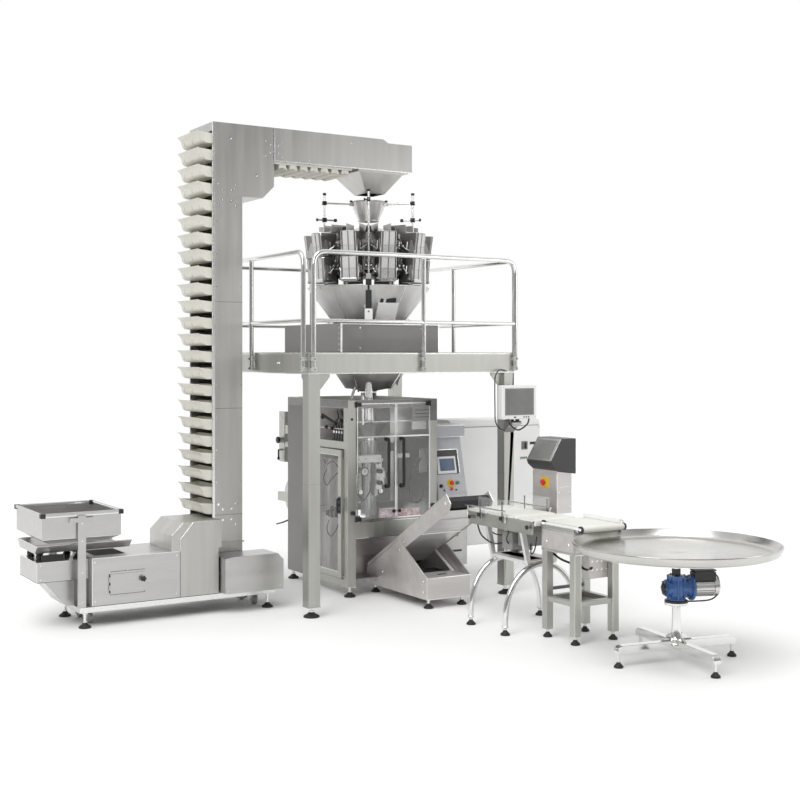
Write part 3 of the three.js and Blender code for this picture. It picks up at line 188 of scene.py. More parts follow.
# ---------------------------------------------------------------- shapes
def round_edges(piece, width, weld=False):
    """Rounds the edges of a piece by width millimetres; weld first joins its split corners and flats."""
    if weld:
        joined = piece.modifiers.new("weld", "WELD")
        joined.merge_threshold = 1e-5
        flat = piece.modifiers.new("flat", "DECIMATE")
        flat.decimate_type = "DISSOLVE"
        flat.angle_limit = radians(1)
    bevel = piece.modifiers.new("edges", "BEVEL")
    bevel.width = width * MM
    bevel.segments = 2
    bevel.limit_method = "ANGLE"
    bevel.angle_limit = radians(32)
    bevel.use_clamp_overlap = False
    normals = piece.modifiers.new("normals", "WEIGHTED_NORMAL")
    normals.keep_sharp = True


def circle(middle, axis, radius, sides, turn=0.0, squash=1.0):
    """Points of a circle round an axis."""
    n = Vector(axis).normalized()
    u = (Vector(UP) if abs(n.z) < 0.9 else Vector(RIGHT)).cross(n).normalized()
    v = n.cross(u)
    points = []
    for k in range(sides):
        a = turn + 2 * pi * k / sides
        points.append(Vector(middle) + u * (radius * cos(a)) + v * (radius * squash * sin(a)))
    return points


def around(count, start=0.0):
    """Angles evenly spaced round a circle."""
    return [start + 2 * pi * k / count for k in range(count)]


class Piece:
    """Collects closed shapes in grid millimetres and makes one object of them."""

    PLANES = {"xz": (0, 2, 1), "yz": (1, 2, 0), "xy": (0, 1, 2)}

    def __init__(self):
        self.bm = bmesh.new()
        self.frame = Matrix.Identity(4)

    def at(self, origin=ORIGIN, angle=0.0):
        """Shapes that follow are turned about Z and moved to origin."""
        self.frame = Matrix.Translation(origin) @ Matrix.Rotation(angle, 4, "Z")
        return self

    def on_axis(self, angle=0.0):
        """Shapes that follow are turned about the weigher's axis."""
        return self.at((*AXIS, 0), angle)

    def skin(self, rings, loop=False):
        """Skins a row of rings of points, and closes its ends unless it runs in a loop."""
        size, count = len(rings[0]), len(rings)
        made = [self.bm.verts.new(site(*(self.frame @ Vector(p)))) for ring in rings for p in ring]
        for i in range(count if loop else count - 1):
            low, high = i * size, (i + 1) % count * size
            for k in range(size):
                m = (k + 1) % size
                self.bm.faces.new([made[low + k], made[low + m], made[high + m], made[high + k]])
        if not loop:
            self.bm.faces.new(made[:size][::-1])
            self.bm.faces.new(made[-size:])
        return made

    def box(self, x0, x1, y0, y1, z0, z1):
        self.skin([[(x0, y0, z), (x1, y0, z), (x1, y1, z), (x0, y1, z)] for z in (z0, z1)])
        return self

    def prism(self, plane, outline, low, high):
        a, b, c = self.PLANES[plane]
        rings = []
        for depth in (low, high):
            ring = []
            for p in outline:
                point = [0.0, 0.0, 0.0]
                point[a], point[b], point[c] = p[0], p[1], depth
                ring.append(point)
            rings.append(ring)
        self.skin(rings)
        return self

    def rod(self, start, end, radius, end_radius=None, sides=20):
        run = Vector(end) - Vector(start)
        tip = radius if end_radius is None else end_radius
        self.skin([circle(start, run, radius, sides), circle(end, run, tip, sides)])
        return self

    def turned(self, base, axis, profile, sides=32):
        """A turned shape: profile is [distance along the axis, radius] pairs, from end to end."""
        n = Vector(axis).normalized()
        self.skin([circle(Vector(base) + n * h, n, max(r, 0.05), sides) for h, r in profile])
        return self

    def ring(self, base, axis, profile, sides=48):
        """A turned ring: profile is a closed outline of [distance along the axis, radius]."""
        n = Vector(axis).normalized()
        columns = [circle(Vector(base) + n * h, n, r, sides) for h, r in profile]
        self.skin([[column[k] for column in columns] for k in range(sides)], loop=True)
        return self

    def tube(self, points, radius, sides=12):
        """A round bar along a route; its section keeps its roll from point to point."""
        path = [Vector(p) for p in points]
        ways = []
        for i, _ in enumerate(path):
            ways.append((path[min(i + 1, len(path) - 1)] - path[max(i - 1, 0)]).normalized())
        side = ways[0].orthogonal().normalized()
        rings = []
        for p, way in zip(path, ways):
            side = (side - way * side.dot(way)).normalized()
            other = way.cross(side)
            ring = []
            for k in range(sides):
                a = 2 * pi * k / sides
                ring.append(p + side * (radius * cos(a)) + other * (radius * sin(a)))
            rings.append(ring)
        self.skin(rings)
        return self

    def bolt(self, at, axis, radius=7, height=5):
        """A hexagon head on its washer."""
        n = Vector(axis).normalized()
        foot = Vector(at)
        self.skin([circle(foot, n, radius * 1.45, 16), circle(foot + n * 1.5, n, radius * 1.45, 16)])
        self.skin([circle(foot + n * 1.4, n, radius, 6), circle(foot + n * height, n, radius, 6),
                   circle(foot + n * (height + 1), n, radius * 0.8, 6)])
        return self

    def make(self, name, material, body=MAIN, bevel=0.0, sharp=35):
        bmesh.ops.recalc_face_normals(self.bm, faces=self.bm.faces)
        mesh = bpy.data.meshes.new(name)
        self.bm.to_mesh(mesh)
        self.bm.free()
        mesh.materials.append(material)
        mesh.shade_smooth()
        piece = bpy.data.objects.new(name, mesh)
        bpy.context.scene.collection.objects.link(piece)
        if bevel:
            round_edges(piece, bevel)
        else:
            mesh.set_sharp_from_angle(angle=radians(sharp))
        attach(piece, body)
        return piece


def pieces(count):
    return [Piece() for _ in range(count)]


def span(start, reach):
    """The two ends of a stretch, lower one first."""
    return sorted((start, start + reach))


def turn_all(groups, angle):
    for group in groups:
        group.on_axis(angle)


def bend(corners, reach, steps=10):
    """A route through corners, with each inner corner rounded off."""
    points = [Vector(p) for p in corners]
    route = [points[0]]
    for before, corner, after in zip(points, points[1:], points[2:]):
        start = corner + (before - corner).normalized() * reach
        end = corner + (after - corner).normalized() * reach
        for k in range(steps + 1):
            t = k / steps
            route.append(start * (1 - t) ** 2 + corner * (2 * t * (1 - t)) + end * t ** 2)
    return route + [points[-1]]


def curve(points, steps=8):
    """A smooth route through all the points."""
    p = [Vector(q) for q in points]
    p = [p[0] * 2 - p[1]] + p + [p[-1] * 2 - p[-2]]
    route = []
    for a, b, c, d in zip(p, p[1:], p[2:], p[3:]):
        for k in range(steps):
            t = k / steps
            route.append((b * 2 + (c - a) * t + (a * 2 - b * 5 + c * 4 - d) * t * t
                          + (b * 3 - a - c * 3 + d) * t ** 3) / 2)
    return route + [p[-2]]


# ---------------------------------------------------------------- camera, floor and light
CAMERA = Sizes(place=(-4.895, -7.9375, 2.0), turn=-31.6, lens=56.25, sensor=36.0, shift=-0.05375)
STUDIO = Sizes(ahead=(0.524, 0.852, 0.35), dim=(0.25, 0.26), bright=(0.78, 1.0), floor_reach=60.0)
SUN = Sizes(way=(0.45, 0.3, -0.84), power=1.5, angle=50)
LAMPS = [("key", (-6.5, -4.0, 5.5), 3.0, 150), ("fill", (6.0, -7.0, 3.5), 2.5, 60)]
LAMP_AIM = Vector((0.0, 0.0, 1.2))


def camera():
    scene = bpy.context.scene
    scene.view_settings.view_transform = "Standard"
    lens = bpy.data.cameras.new("camera")
    lens.lens = CAMERA.lens
    lens.sensor_width = CAMERA.sensor
    lens.shift_y = CAMERA.shift
    lens.clip_end = 200
    viewer = bpy.data.objects.new("camera", lens)
    viewer.location = CAMERA.place
    viewer.rotation_euler = (radians(90), 0, radians(CAMERA.turn))
    scene.collection.objects.link(viewer)
    scene.camera = viewer


def pale_floor():
    scene = bpy.context.scene
    floor_mesh = bpy.data.meshes.new("floor")
    reach = STUDIO.floor_reach
    floor_mesh.from_pydata([(-reach, -reach, -0.001), (reach, -reach, -0.001), (reach, reach, -0.001),
                            (-reach, reach, -0.001)], [], [(0, 1, 2, 3)])
    floor = bpy.data.objects.new("floor", floor_mesh)
    scene.collection.objects.link(floor)
    floor_mesh.materials.append(surface("floor_pale", "white_cover", (0.93, 0.93, 0.925), 0.8, 0.0, 0.005,
                                        bump=0.0))


def studio():
    """A world that is bright behind the machines and dim where the camera stands."""
    scene = bpy.context.scene
    world = bpy.data.worlds.new("studio")
    scene.world = world
    world.use_nodes = True
    tree = world.node_tree
    sky = tree.nodes["Background"]
    place = tree.nodes.new("ShaderNodeTexCoord")
    ahead = tree.nodes.new("ShaderNodeVectorMath")
    ahead.operation = "DOT_PRODUCT"
    ahead.inputs[1].default_value = STUDIO.ahead
    ramp = tree.nodes.new("ShaderNodeValToRGB")
    steps = tree.nodes.new("ShaderNodeMapRange")
    steps.inputs["From Min"].default_value = -1.0
    steps.inputs["From Max"].default_value = 1.0
    tree.links.new(place.outputs["Generated"], ahead.inputs[0])
    tree.links.new(ahead.outputs["Value"], steps.inputs["Value"])
    tree.links.new(steps.outputs["Result"], ramp.inputs["Fac"])
    tree.links.new(ramp.outputs["Color"], sky.inputs["Color"])
    for element, (position, grey) in zip(ramp.color_ramp.elements, (STUDIO.dim, STUDIO.bright)):
        element.position = position
        element.color = (grey, grey, grey, 1)
    sky.inputs["Strength"].default_value = 1.0


def lights():
    scene = bpy.context.scene
    daylight = bpy.data.lights.new("daylight", "SUN")
    daylight.energy = SUN.power
    daylight.angle = radians(SUN.angle)
    sun = bpy.data.objects.new("daylight", daylight)
    sun.rotation_euler = Vector(SUN.way).to_track_quat("-Z", "Y").to_euler()
    scene.collection.objects.link(sun)

    for name, where, size, power in LAMPS:
        light = bpy.data.lights.new(name, "AREA")
        light.size = size
        light.energy = power
        lamp = bpy.data.objects.new(name, light)
        lamp.location = where
        lamp.rotation_euler = (LAMP_AIM - Vector(where)).to_track_quat("-Z", "Y").to_euler()
        scene.collection.objects.link(lamp)


camera()
pale_floor()
studio()
lights()

# ---------------------------------------------------------------- finishes of the CAD nodes
FINISHES = {
    STEEL: ["elevator_casing", "discharge_funnel", "weigher_body"],
    CHUTE: ["collating_chutes"],
    STEEL_LEVEL: ["elevator_housing", "elevator_access_door", "elevator_drive_box", "infeed_hopper",
                  "vibratory_tray"],
    STEEL_WARM: ["takeoff_frame"],
    GREY: ["weigher_base"],
    CONSOLE_GREY: ["control_console"],
    FRAME_STEEL: ["platform_frame", "bagger_frame", "side_door", "transfer_frame"],
    BEAM_STEEL: ["deck_plate"],
    PLATE: ["vertical_sealer", "seal_jaw_front", "seal_jaw_rear", "dancer_arm"],
    WHITE: ["electrical_cabinet", "cabinet_door"],
    DARK_BELT: ["takeoff_belt"],
}
EDGE = 1.5


def finish_node(node, material):
    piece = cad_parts[node]
    own_normals = piece.data.attributes.get("custom_normal")
    if own_normals:
        piece.data.attributes.remove(own_normals)
    piece.data.materials.clear()
    piece.data.materials.append(material)
    piece.data.shade_smooth()
    round_edges(piece, EDGE, weld=True)


for finish, members in FINISHES.items():
    for member in members:
        finish_node(member, finish)
for name in sorted(set(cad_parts) - {n for members in FINISHES.values() for n in members}):
    finish_node(name, TUBE)


# ---------------------------------------------------------------- levelling feet
BOW = Sizes(middle=180, half=325, foot=50, rise=435, places=(-1730, -2160))
FEET = [
    ("platform", 62, 80, [(-1040, -870), (810, -870), (-1040, 930), (810, 930)]),
    ("bagger", 48, 80, [(-392, -317), (416, -317), (-392, 722), (416, 722)]),
    ("elevator", 45, 112, [(-2645, -338), (-1160, -338), (-2645, 156), (-1160, 156)]),
    ("takeoff", 38, 74, [(-90, -1060), (230, -1060), (-90, -230), (230, -230)]),
    ("checkweigher", 34, 50, [(BOW.middle + side, y) for y in BOW.places for side in (-BOW.half, BOW.half)]),
    ("transfer", 32, 60, [(88, -2662), (432, -2662), (88, -2354), (432, -2354)]),
]
DISC = (345, -3380)
TABLE_TURN = radians(-10.5)
TABLE_ARM = 435


def bell_foot(rubber, metal, x, y, radius, top):
    """A black bell on the floor, with a threaded stem, its nut and a lock nut under the frame."""
    r = radius + 1
    bell = [(0, r * 0.96), (3, r), (8, r), (13, r * 0.92), (19, r * 0.72), (26, r * 0.52), (33, r * 0.4),
            (38, r * 0.32), (40, r * 0.2)]
    rubber.turned((x, y, 0), UP, bell, 28)
    metal.rod((x, y, 36), (x, y, top + 4), 11, sides=16)
    metal.rod((x, y, 40), (x, y, 50), radius * 0.36, sides=6)
    metal.rod((x, y, top - 11), (x, y, top + 1), radius * 0.44, sides=6)


def all_feet():
    table_feet = []
    for i in range(4):
        a = TABLE_TURN + i * pi / 2
        table_feet.append((DISC[0] + TABLE_ARM * cos(a), DISC[1] + TABLE_ARM * sin(a)))
    for name, radius, top, places in FEET + [("table", 30, 94, table_feet)]:
        rubber, metal = pieces(2)
        for x, y in places:
            bell_foot(rubber, metal, x, y, radius, top)
        rubber.make(name + "_foot_bells", RUBBER)
        metal.make(name + "_foot_stems", TUBE)


all_feet()

# ---------------------------------------------------------------- bucket elevator
COLUMN = Sizes(left=-1565, right=-1310, front=-190, back=290, foot=420, top=3872)
HEAD = Sizes(right=-1030, foot=3290, chamfer=100)
ARM = Sizes(foot=3601, end=300, step=30)
CUP_SIZE = Sizes(pitch=134, count=23, first=742, chain=-1497, front=-171, back=271)


def cup_shell(piece, x, z, y0, y1, flip=False):
    """A moulded bucket: a curved shell with a flared lip, and an end wall at each side."""
    wall = 4
    outer = [(-2, 104), (-2, 30), (-8, 18), (-22, 12), (-104, 12), (-124, 17), (-138, 28), (-146, 44),
             (-150, 66), (-158, 82), (-172, 96), (-190, 108)]
    inner = [(-181, 108), (-166, 98), (-152, 84), (-144, 67), (-140, 46), (-133, 32), (-121, 22),
             (-103, 12 + wall), (-23, 12 + wall), (-12, 21), (-6, 32), (-6, 104)]
    profile = outer + inner
    ends = outer[:-1] + [(-184, 104), (-60, 92)]
    if flip:
        profile = [(-0.42 * a - 0.06 * b, -b * 0.78) for a, b in profile]
        ends = [(-0.42 * a - 0.06 * b, -b * 0.78) for a, b in ends]
    piece.prism("xz", [(x + a, z + b) for a, b in profile], y0, y1)
    for y in (y0 + 0.4, y1 - wall - 0.4):
        piece.prism("xz", [(x + a, z + b) for a, b in ends], y, y + wall)


def elevator_buckets():
    """The rising run of buckets, its chain, a near-black painted shade behind them, and the tipped buckets
    under the arm.
    """
    c = CUP_SIZE
    cups, chain, shade_backing = pieces(3)
    for i in range(c.count):
        z = c.first + i * c.pitch
        cup_shell(cups, c.chain, z - 2, c.front, c.back)
        for y in (c.front + 60, c.back - 60, 50):
            cups.prism("xz", [(c.chain - 143, z + 30), (c.chain - 150, z + 34), (c.chain - 153, z + 64),
                              (c.chain - 147, z + 64)], y - 3, y + 3)
        # A near-black panel behind each bucket: painted shade of the casing's dark inside.
        shade_backing.box(c.chain - 1, c.chain + 11, c.front + 4, c.back - 4, z + 1, z + c.pitch - 22)
        for y in (c.front + 8, c.back - 30):
            for k in range(3):
                link = z + 8 + k * 40
                chain.box(c.chain + 12, c.chain + 16, y, y + 22, link, link + 36)
                chain.rod((c.chain + 8, y - 3, link + 18), (c.chain + 8, y + 25, link + 18), 8, sides=12)
    for i in range(7):
        x = HEAD.right + 60 + i * 98
        cup_shell(cups, x, ARM.foot + 24, c.front, c.back, flip=True)
        chain.box(x - 12, x + 84, c.front + 2, c.front + 20, ARM.foot + 26, ARM.foot + 37)
        chain.box(x - 12, x + 84, c.back - 20, c.back - 2, ARM.foot + 26, ARM.foot + 37)
    cups.box(HEAD.right + 10, -292, c.front - 5, c.front - 1, ARM.foot - 22, ARM.foot + 4)
    cups_piece = cups.make("elevator_buckets", CUP, bevel=0.8)
    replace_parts(cups_piece, "bucket_chain")
    chain.make("elevator_chain", STEEL_DARK)
    shade_backing.make("elevator_painted_shade_backing", SHADE_AND_JOINT_BLACK)


def joint_bolts(piece, x, z, y, wide=75, near=38, upright=True):
    """Four bolts each side of a joint between two casing sections."""
    for side in (-1, 1):
        for across, away in ((-wide, 84), (-near, 42), (near, 42), (wide, 84)):
            if upright:
                piece.bolt((x + across, y, z + side * away), FRONT)
            else:
                piece.bolt((x + side * (away - 8), y, z + across), FRONT)


def elevator_casing_details():
    """Side plates, folded edges, bolts and joints of the column, head and arm."""
    c, h, a = COLUMN, HEAD, ARM
    y = c.front
    skin, bright, bolts, seams = pieces(4)
    head = [(c.left, h.foot), (h.right - h.chamfer, h.foot), (h.right, h.foot + h.chamfer),
            (h.right, c.top - 1), (c.left, c.top - 1)]
    skin.prism("xz", head, y - 2.5, y - 0.2)
    skin.prism("xz", head, c.back + 0.2, c.back + 2.5)
    arm = [(h.right + 4, a.foot), (a.end, a.foot), (a.end, c.top - a.step - 1),
           (a.end - 240, c.top - a.step - 1), (a.end - 290, c.top - 1), (h.right + 4, c.top - 1)]
    skin.prism("xz", arm, y - 1.5, y - 0.2)
    skin.make("casing_side_plates", STEEL, bevel=0.8)
    # Folded edges of the column and of the arm, as strips of painted highlight.
    bright.box(c.left - 3, c.left + 16, y - 5, y + 12, c.foot + 110, c.top - 2)
    bright.box(c.left - 3, c.left + 16, c.back - 12, c.back + 5, c.foot + 110, c.top - 2)
    bright.box(h.right - 2, h.right + 10, y - 4.5, y + 2, a.foot, c.top - 6)
    bright.box(h.right + 10, a.end + 2, y - 3.5, y, a.foot - 2, a.foot + 8)
    bright.make("casing_folded_edges", HIGHLIGHT_STEEL, bevel=0.8)
    middle = (c.left + c.right) / 2
    joint_bolts(bolts, middle - 6, h.foot + 5, y - 2.5)
    joint_bolts(bolts, middle - 6, 742, y - 0.5)
    joint_bolts(bolts, h.right + 6, 3696, y - 2.5, 62, 32, upright=False)
    for x, z in ((-1413, 3750), (-1183, 3469)):
        bolts.bolt((x, y - 2.5, z), FRONT, 9, 6)
        bolts.bolt((x, c.back + 2.5, z), BACK, 9, 6)
    for x in (-700, -300, 60):
        for z in (a.foot + 26, c.top - 60):
            bolts.bolt((x, y - 1.5, z), FRONT, 5, 4)
    for z in range(1000, 3200, 260):
        for x in (c.left + 30, c.right - 18):
            bolts.bolt((x, y - 0.2, z), FRONT, 3.5, 2.5)
    bolts.make("casing_bolts", TUBE)
    # Narrow joints between the sheets.
    for z in (742, 1590, 2440):
        seams.box(c.left + 14, c.right - 0.5, y - 0.6, y + 1, z - 1.2, z + 1.2)
        seams.box(c.right - 1, c.right + 0.6, c.front, c.back, z - 1.2, z + 1.2)
    seams.box(h.right - 5, h.right - 2, y - 3.1, y - 2, a.foot, c.top - 4)
    seams.make("casing_seams", SHADE_AND_JOINT_BLACK)


HOUSING = Sizes(left=-2600, right=-1590, front=-362, back=180, bottom=155, top=510)


def boot_details():
    """Cover plate, edges, seams and bolts of the boot housing."""
    h = HOUSING
    y = h.front
    trim, seams, bolts = pieces(3)
    # A cover plate in front of the boot, with the corner of its top cut off.
    trim.prism("xz", [(-1907, 158), (-1592, 158), (-1592, 724), (-1798, 724), (-1907, 594)], y - 3, y - 0.2)
    trim.make("boot_front_plate", STEEL, bevel=0.8)
    rim = Piece()
    rim.tube(bend([(-1592, y - 1, 726), (-1798, y - 1, 726), (-1909, y - 1, 594), (-1909, y - 1, 512)], 12,
                  4), 3.2, 8)
    rim.tube([(-1975, y + 1, 512), (-1975, y + 1, 630), (-1880, y + 1, 726)], 3, 8)
    rim.box(-2690, -1102, y + 1.5, y + 4.2, 112, 152)
    rim.box(h.left, h.left + 5, y - 2.2, y, h.bottom + 4, h.top)
    rim.box(h.left, -1912, y - 2.4, y + 3, h.top - 4, h.top + 1.2)
    rim.make("base_bright_edges", HIGHLIGHT_STEEL, bevel=0.6)
    seams.box(-1910, -1908, y - 0.9, y + 1, h.bottom + 4, 508)
    seams.box(-2462, -2191, y - 0.8, y + 0.5, 226, 229)
    seams.box(-2462, -2191, y - 0.8, y + 0.5, 398, 401)
    for x in (-2462, -2191):
        seams.box(x - 1.5, x + 1.5, y - 0.7, y + 0.5, 229, 240)
    seams.box(-2690, -1592, y - 0.4, y + 4, 152.5, 156)
    seams.make("base_seams", SHADE_AND_JOINT_BLACK)
    for x in (-2580, -1940):
        for z in (190, 480):
            bolts.bolt((x, y - 0.5, z), FRONT, 5, 4)
    for x in (-1560, -1110):
        for z in (190, 415):
            bolts.bolt((x, -470.5, z), FRONT, 5, 4)
    bolts.bolt((-1580.5, -330, 300), LEFT, 9, 6)
    bolts.bolt((-2330, y - 5.5, 405), FRONT, 3, 2)
    bolts.make("base_bolts", TUBE)


def access_door_details():
    """The dark gap at the door's hinge side, and its clamping knob."""
    y = HOUSING.front
    dark = Piece()
    dark.box(-2470, -2461, y - 5.6, y - 4.8, 243, 381)
    dark.make("access_door_shadow_gap", SHADE_AND_JOINT_BLACK, body="access_door")
    knob = Piece()
    profile = [(0, 9), (4, 9), (5, 6), (13, 6), (14, 15), (17, 18.5), (24, 18.5), (28, 15), (29, 4)]
    knob.turned((-2212, y - 8, 330), FRONT, profile, 20)
    for a in around(5):
        centre = Vector((-2212 + 17 * cos(a), y - 26, 330 + 17 * sin(a)))
        knob.turned(centre, FRONT, [(0, 4), (2, 6), (8, 6), (10, 4)], 10)
    knob.make("access_door_knob", BLACK, body="access_door")


def casters():
    """Tyred wheels in fixed forks."""
    tyres, forks = pieces(2)
    for x in (-2560, -1205):
        for cy in (-180, 60):
            tyre = [(-17, 30), (-16, 37), (-12, 40), (12, 40), (16, 37), (17, 30)]
            tyres.ring((x, cy, 40.4), RIGHT, [(-17, 18)] + tyre + [(17, 18)], 28)
            forks.rod((x - 18, cy, 40), (x + 18, cy, 40), 19, sides=20)
            for side in (-1, 1):
                forks.prism("yz", [(cy - 9, 28), (cy + 9, 28), (cy + 24, 112), (cy - 24, 112)], x + side * 19,
                            x + side * 27.5)
            forks.bolt((x - 27.5, cy, 40), LEFT, 8, 5)
            forks.box(x - 34, x + 34, cy - 34, cy + 34, 106, 111)
    tyres.make("caster_tyres", MOTOR)
    forks.make("caster_forks", TUBE, bevel=0.6)


def drive_box_details():
    """Louvres in the box's right wall, and the geared motor behind it."""
    louvres = Piece()
    for k in range(6):
        z = 205 + k * 30
        louvres.prism("yz", [(-400, z), (-402, z + 4), (-270, z + 4), (-272, z)], -1079.5, -1073)
    louvres.make("drive_box_louvres", STEEL_DARK)
    gearmotor = Piece()
    gearmotor.turned((-1205, -204, 300), BACK, [(0, 74), (6, 82), (14, 82), (16, 78)], 32)
    for k in range(9):
        gearmotor.turned((-1205, -182 + k * 17, 300), BACK, [(0, 76), (1, 82), (5, 82), (6, 76)], 32)
    gearmotor.turned((-1205, -22, 300), BACK, [(0, 80), (6, 80), (14, 72), (22, 50)], 32)
    gearmotor.box(-1262, -1148, -150, -60, 372, 412)
    gearmotor.make("elevator_gearmotor", MOTOR, bevel=1)


HOPPER = Sizes(left=-2967, right=-2377, front=-362, back=340, top=862)


def hopper_rim():
    """The rolled rim with its black corner caps."""
    h = HOPPER
    rim, caps = pieces(2)
    z, r = h.top - 11, 11.2
    x0, x1, y0, y1 = h.left - 2.8, h.right + 2.8, h.front - 2.8, h.back + 2.8
    rim.box(x0 - r + 0.4, x1 + r - 0.4, y0 - r + 0.4, y0 + 2, z - r - 6, z - r + 1)
    for start, end in (((x0, y0), (x1, y0)), ((x1, y0), (x1, y1)), ((x1, y1), (x0, y1)),
                       ((x0, y1), (x0, y0))):
        rim.rod((*start, z), (*end, z), r, sides=16)
    rim.make("hopper_rolled_rim", TUBE)
    for x in (x0, x1):
        for y in (y0, y1):
            dx, dy = (1 if x > x0 else -1), (1 if y > y0 else -1)
            a, b = sorted((x - dx * 26, x + dx * 13))
            c, d = sorted((y - dy * 26, y + dy * 13))
            caps.box(a, b, c, d, z - 22, z + 12.5)
    caps.make("hopper_corner_caps", BLACK, bevel=4)


def tray_details():
    """Folds of the hopper and of the tray, and the tray's rubber mounts and leaf springs."""
    h = HOPPER
    seams, mounts = pieces(2)
    waist = h.top - 190
    for y, step in ((h.front, -1), (h.back, 1)):
        seams.box(h.left, h.right, min(y, y + step * 1.4), max(y, y + step * 1.4), waist - 2, waist + 2)
    seams.tube([(-2989, -298, 619), (-2271, -298, 619)], 4, 8)
    seams.tube([(-2989, 218, 619), (-2271, 218, 619)], 4, 8)
    seams.tube([(-2987, -298, 619), (-2987, -240, 563)], 3, 8)
    seams.box(-2989.5, -2984, -296, 216, 612, 621)
    seams.make("hopper_and_tray_folds", HIGHLIGHT_STEEL, bevel=0.6)
    for x in (-2935, -2660):
        for y in (-180, 60):
            mounts.turned((x, y, 499), UP, [(0, 30), (6, 30), (8, 23), (20, 27), (32, 27), (46, 23), (50, 30),
                                            (60, 30)], 20)
    mounts.box(-2950, -2790, -296, -284, 502, 552)
    mounts.make("tray_rubber_mounts", RUBBER)
    springs = Piece()
    for y in (-262, 142):
        springs.prism("xz", [(-2920, 500), (-2908, 500), (-2868, 556), (-2880, 556)], y - 14, y + 14)
        springs.prism("xz", [(-2740, 500), (-2728, 500), (-2688, 556), (-2700, 556)], y - 14, y + 14)
    springs.make("tray_leaf_springs", PLATE, bevel=0.5)


def vibrator_box():
    """Edges, gaps and bolts of the box under the tray; the gaps and the sheet below the box are painted
    shade.
    """
    box, gap = pieces(2)
    for z in (358, 499):
        box.box(-2986.5, -2601, -291.5, 171, z - 1.5, z + 1.5)
    box.box(-2986.5, -2983, -291.5, -288, 352, 499)
    box.tube([(-2760, -252, 156), (-2927, -252, 350)], 3, 8)
    box.make("vibrator_box_edges", HIGHLIGHT_STEEL, bevel=0.5)
    # Painted shade: dark lines under and at the end of the box, and a dark sheet below it.
    gap.box(-2985.8, -2601, -290.8, 170.8, 350, 356)
    gap.box(-2604, -2599, -291, -246, 158, 500)
    gap.prism("xz", [(-2700, 352), (-2640, 352), (-2640, 162), (-2700, 162)], -250.8, -249.6)
    gap.make("vibrator_box_shaded_gaps", STEEL_DARK)
    bolts = Piece()
    for x in (-2960, -2630):
        for z in (375, 478):
            bolts.bolt((x, -290.2, z), FRONT, 4.5, 3)
    for z in (200, 420, 650, 780):
        bolts.bolt((-2682, -392.3, z), FRONT, 5, 4)
    bolts.make("infeed_bolts", TUBE)


elevator_buckets()
elevator_casing_details()
boot_details()
access_door_details()
casters()
drive_box_details()
hopper_rim()
tray_details()
vibrator_box()


# ---------------------------------------------------------------- multihead weigher
FEED_HOPPER = Sizes(r0=385, r1=532, width=128, z0=2845, z1=3048, lean=24)
WEIGH_HOPPER = Sizes(r0=385, r1=515, width=146, z0=2640, z1=2838, lean=14)
WEIGHER_BASE = (-560, 400, -470, 560, 2038, 2277)
STAND = Sizes(sensor=3180, reach=400, foot=2991.5, top=3400, level=3325, gaps=(0, 2, 5, 8), sensors=(2, 8))


def hopper_shell(piece, r0, r1, width, z0, z1, lean, wall=3):
    """An open chute with cut corners, its outer face leaning outwards."""
    def ring(inset, z):
        out = r1 - inset + lean * (z - z0) / (z1 - z0)
        a, w, cut = r0 + inset, width / 2 - inset, 14
        return [(a, -w, z), (out - cut, -w, z), (out, -w + cut, z), (out, w - cut, z), (out - cut, w, z),
                (a, w, z)]
    piece.skin([ring(0, z0), ring(0, z1), ring(wall, z1), ring(wall, z0)], loop=True)


def face_reach(h, z, lift=0.0):
    """How far a hopper's outer face stands from the weigher's axis at height z."""
    return h.r1 + h.lean * (z - h.z0) / (h.z1 - h.z0) + lift


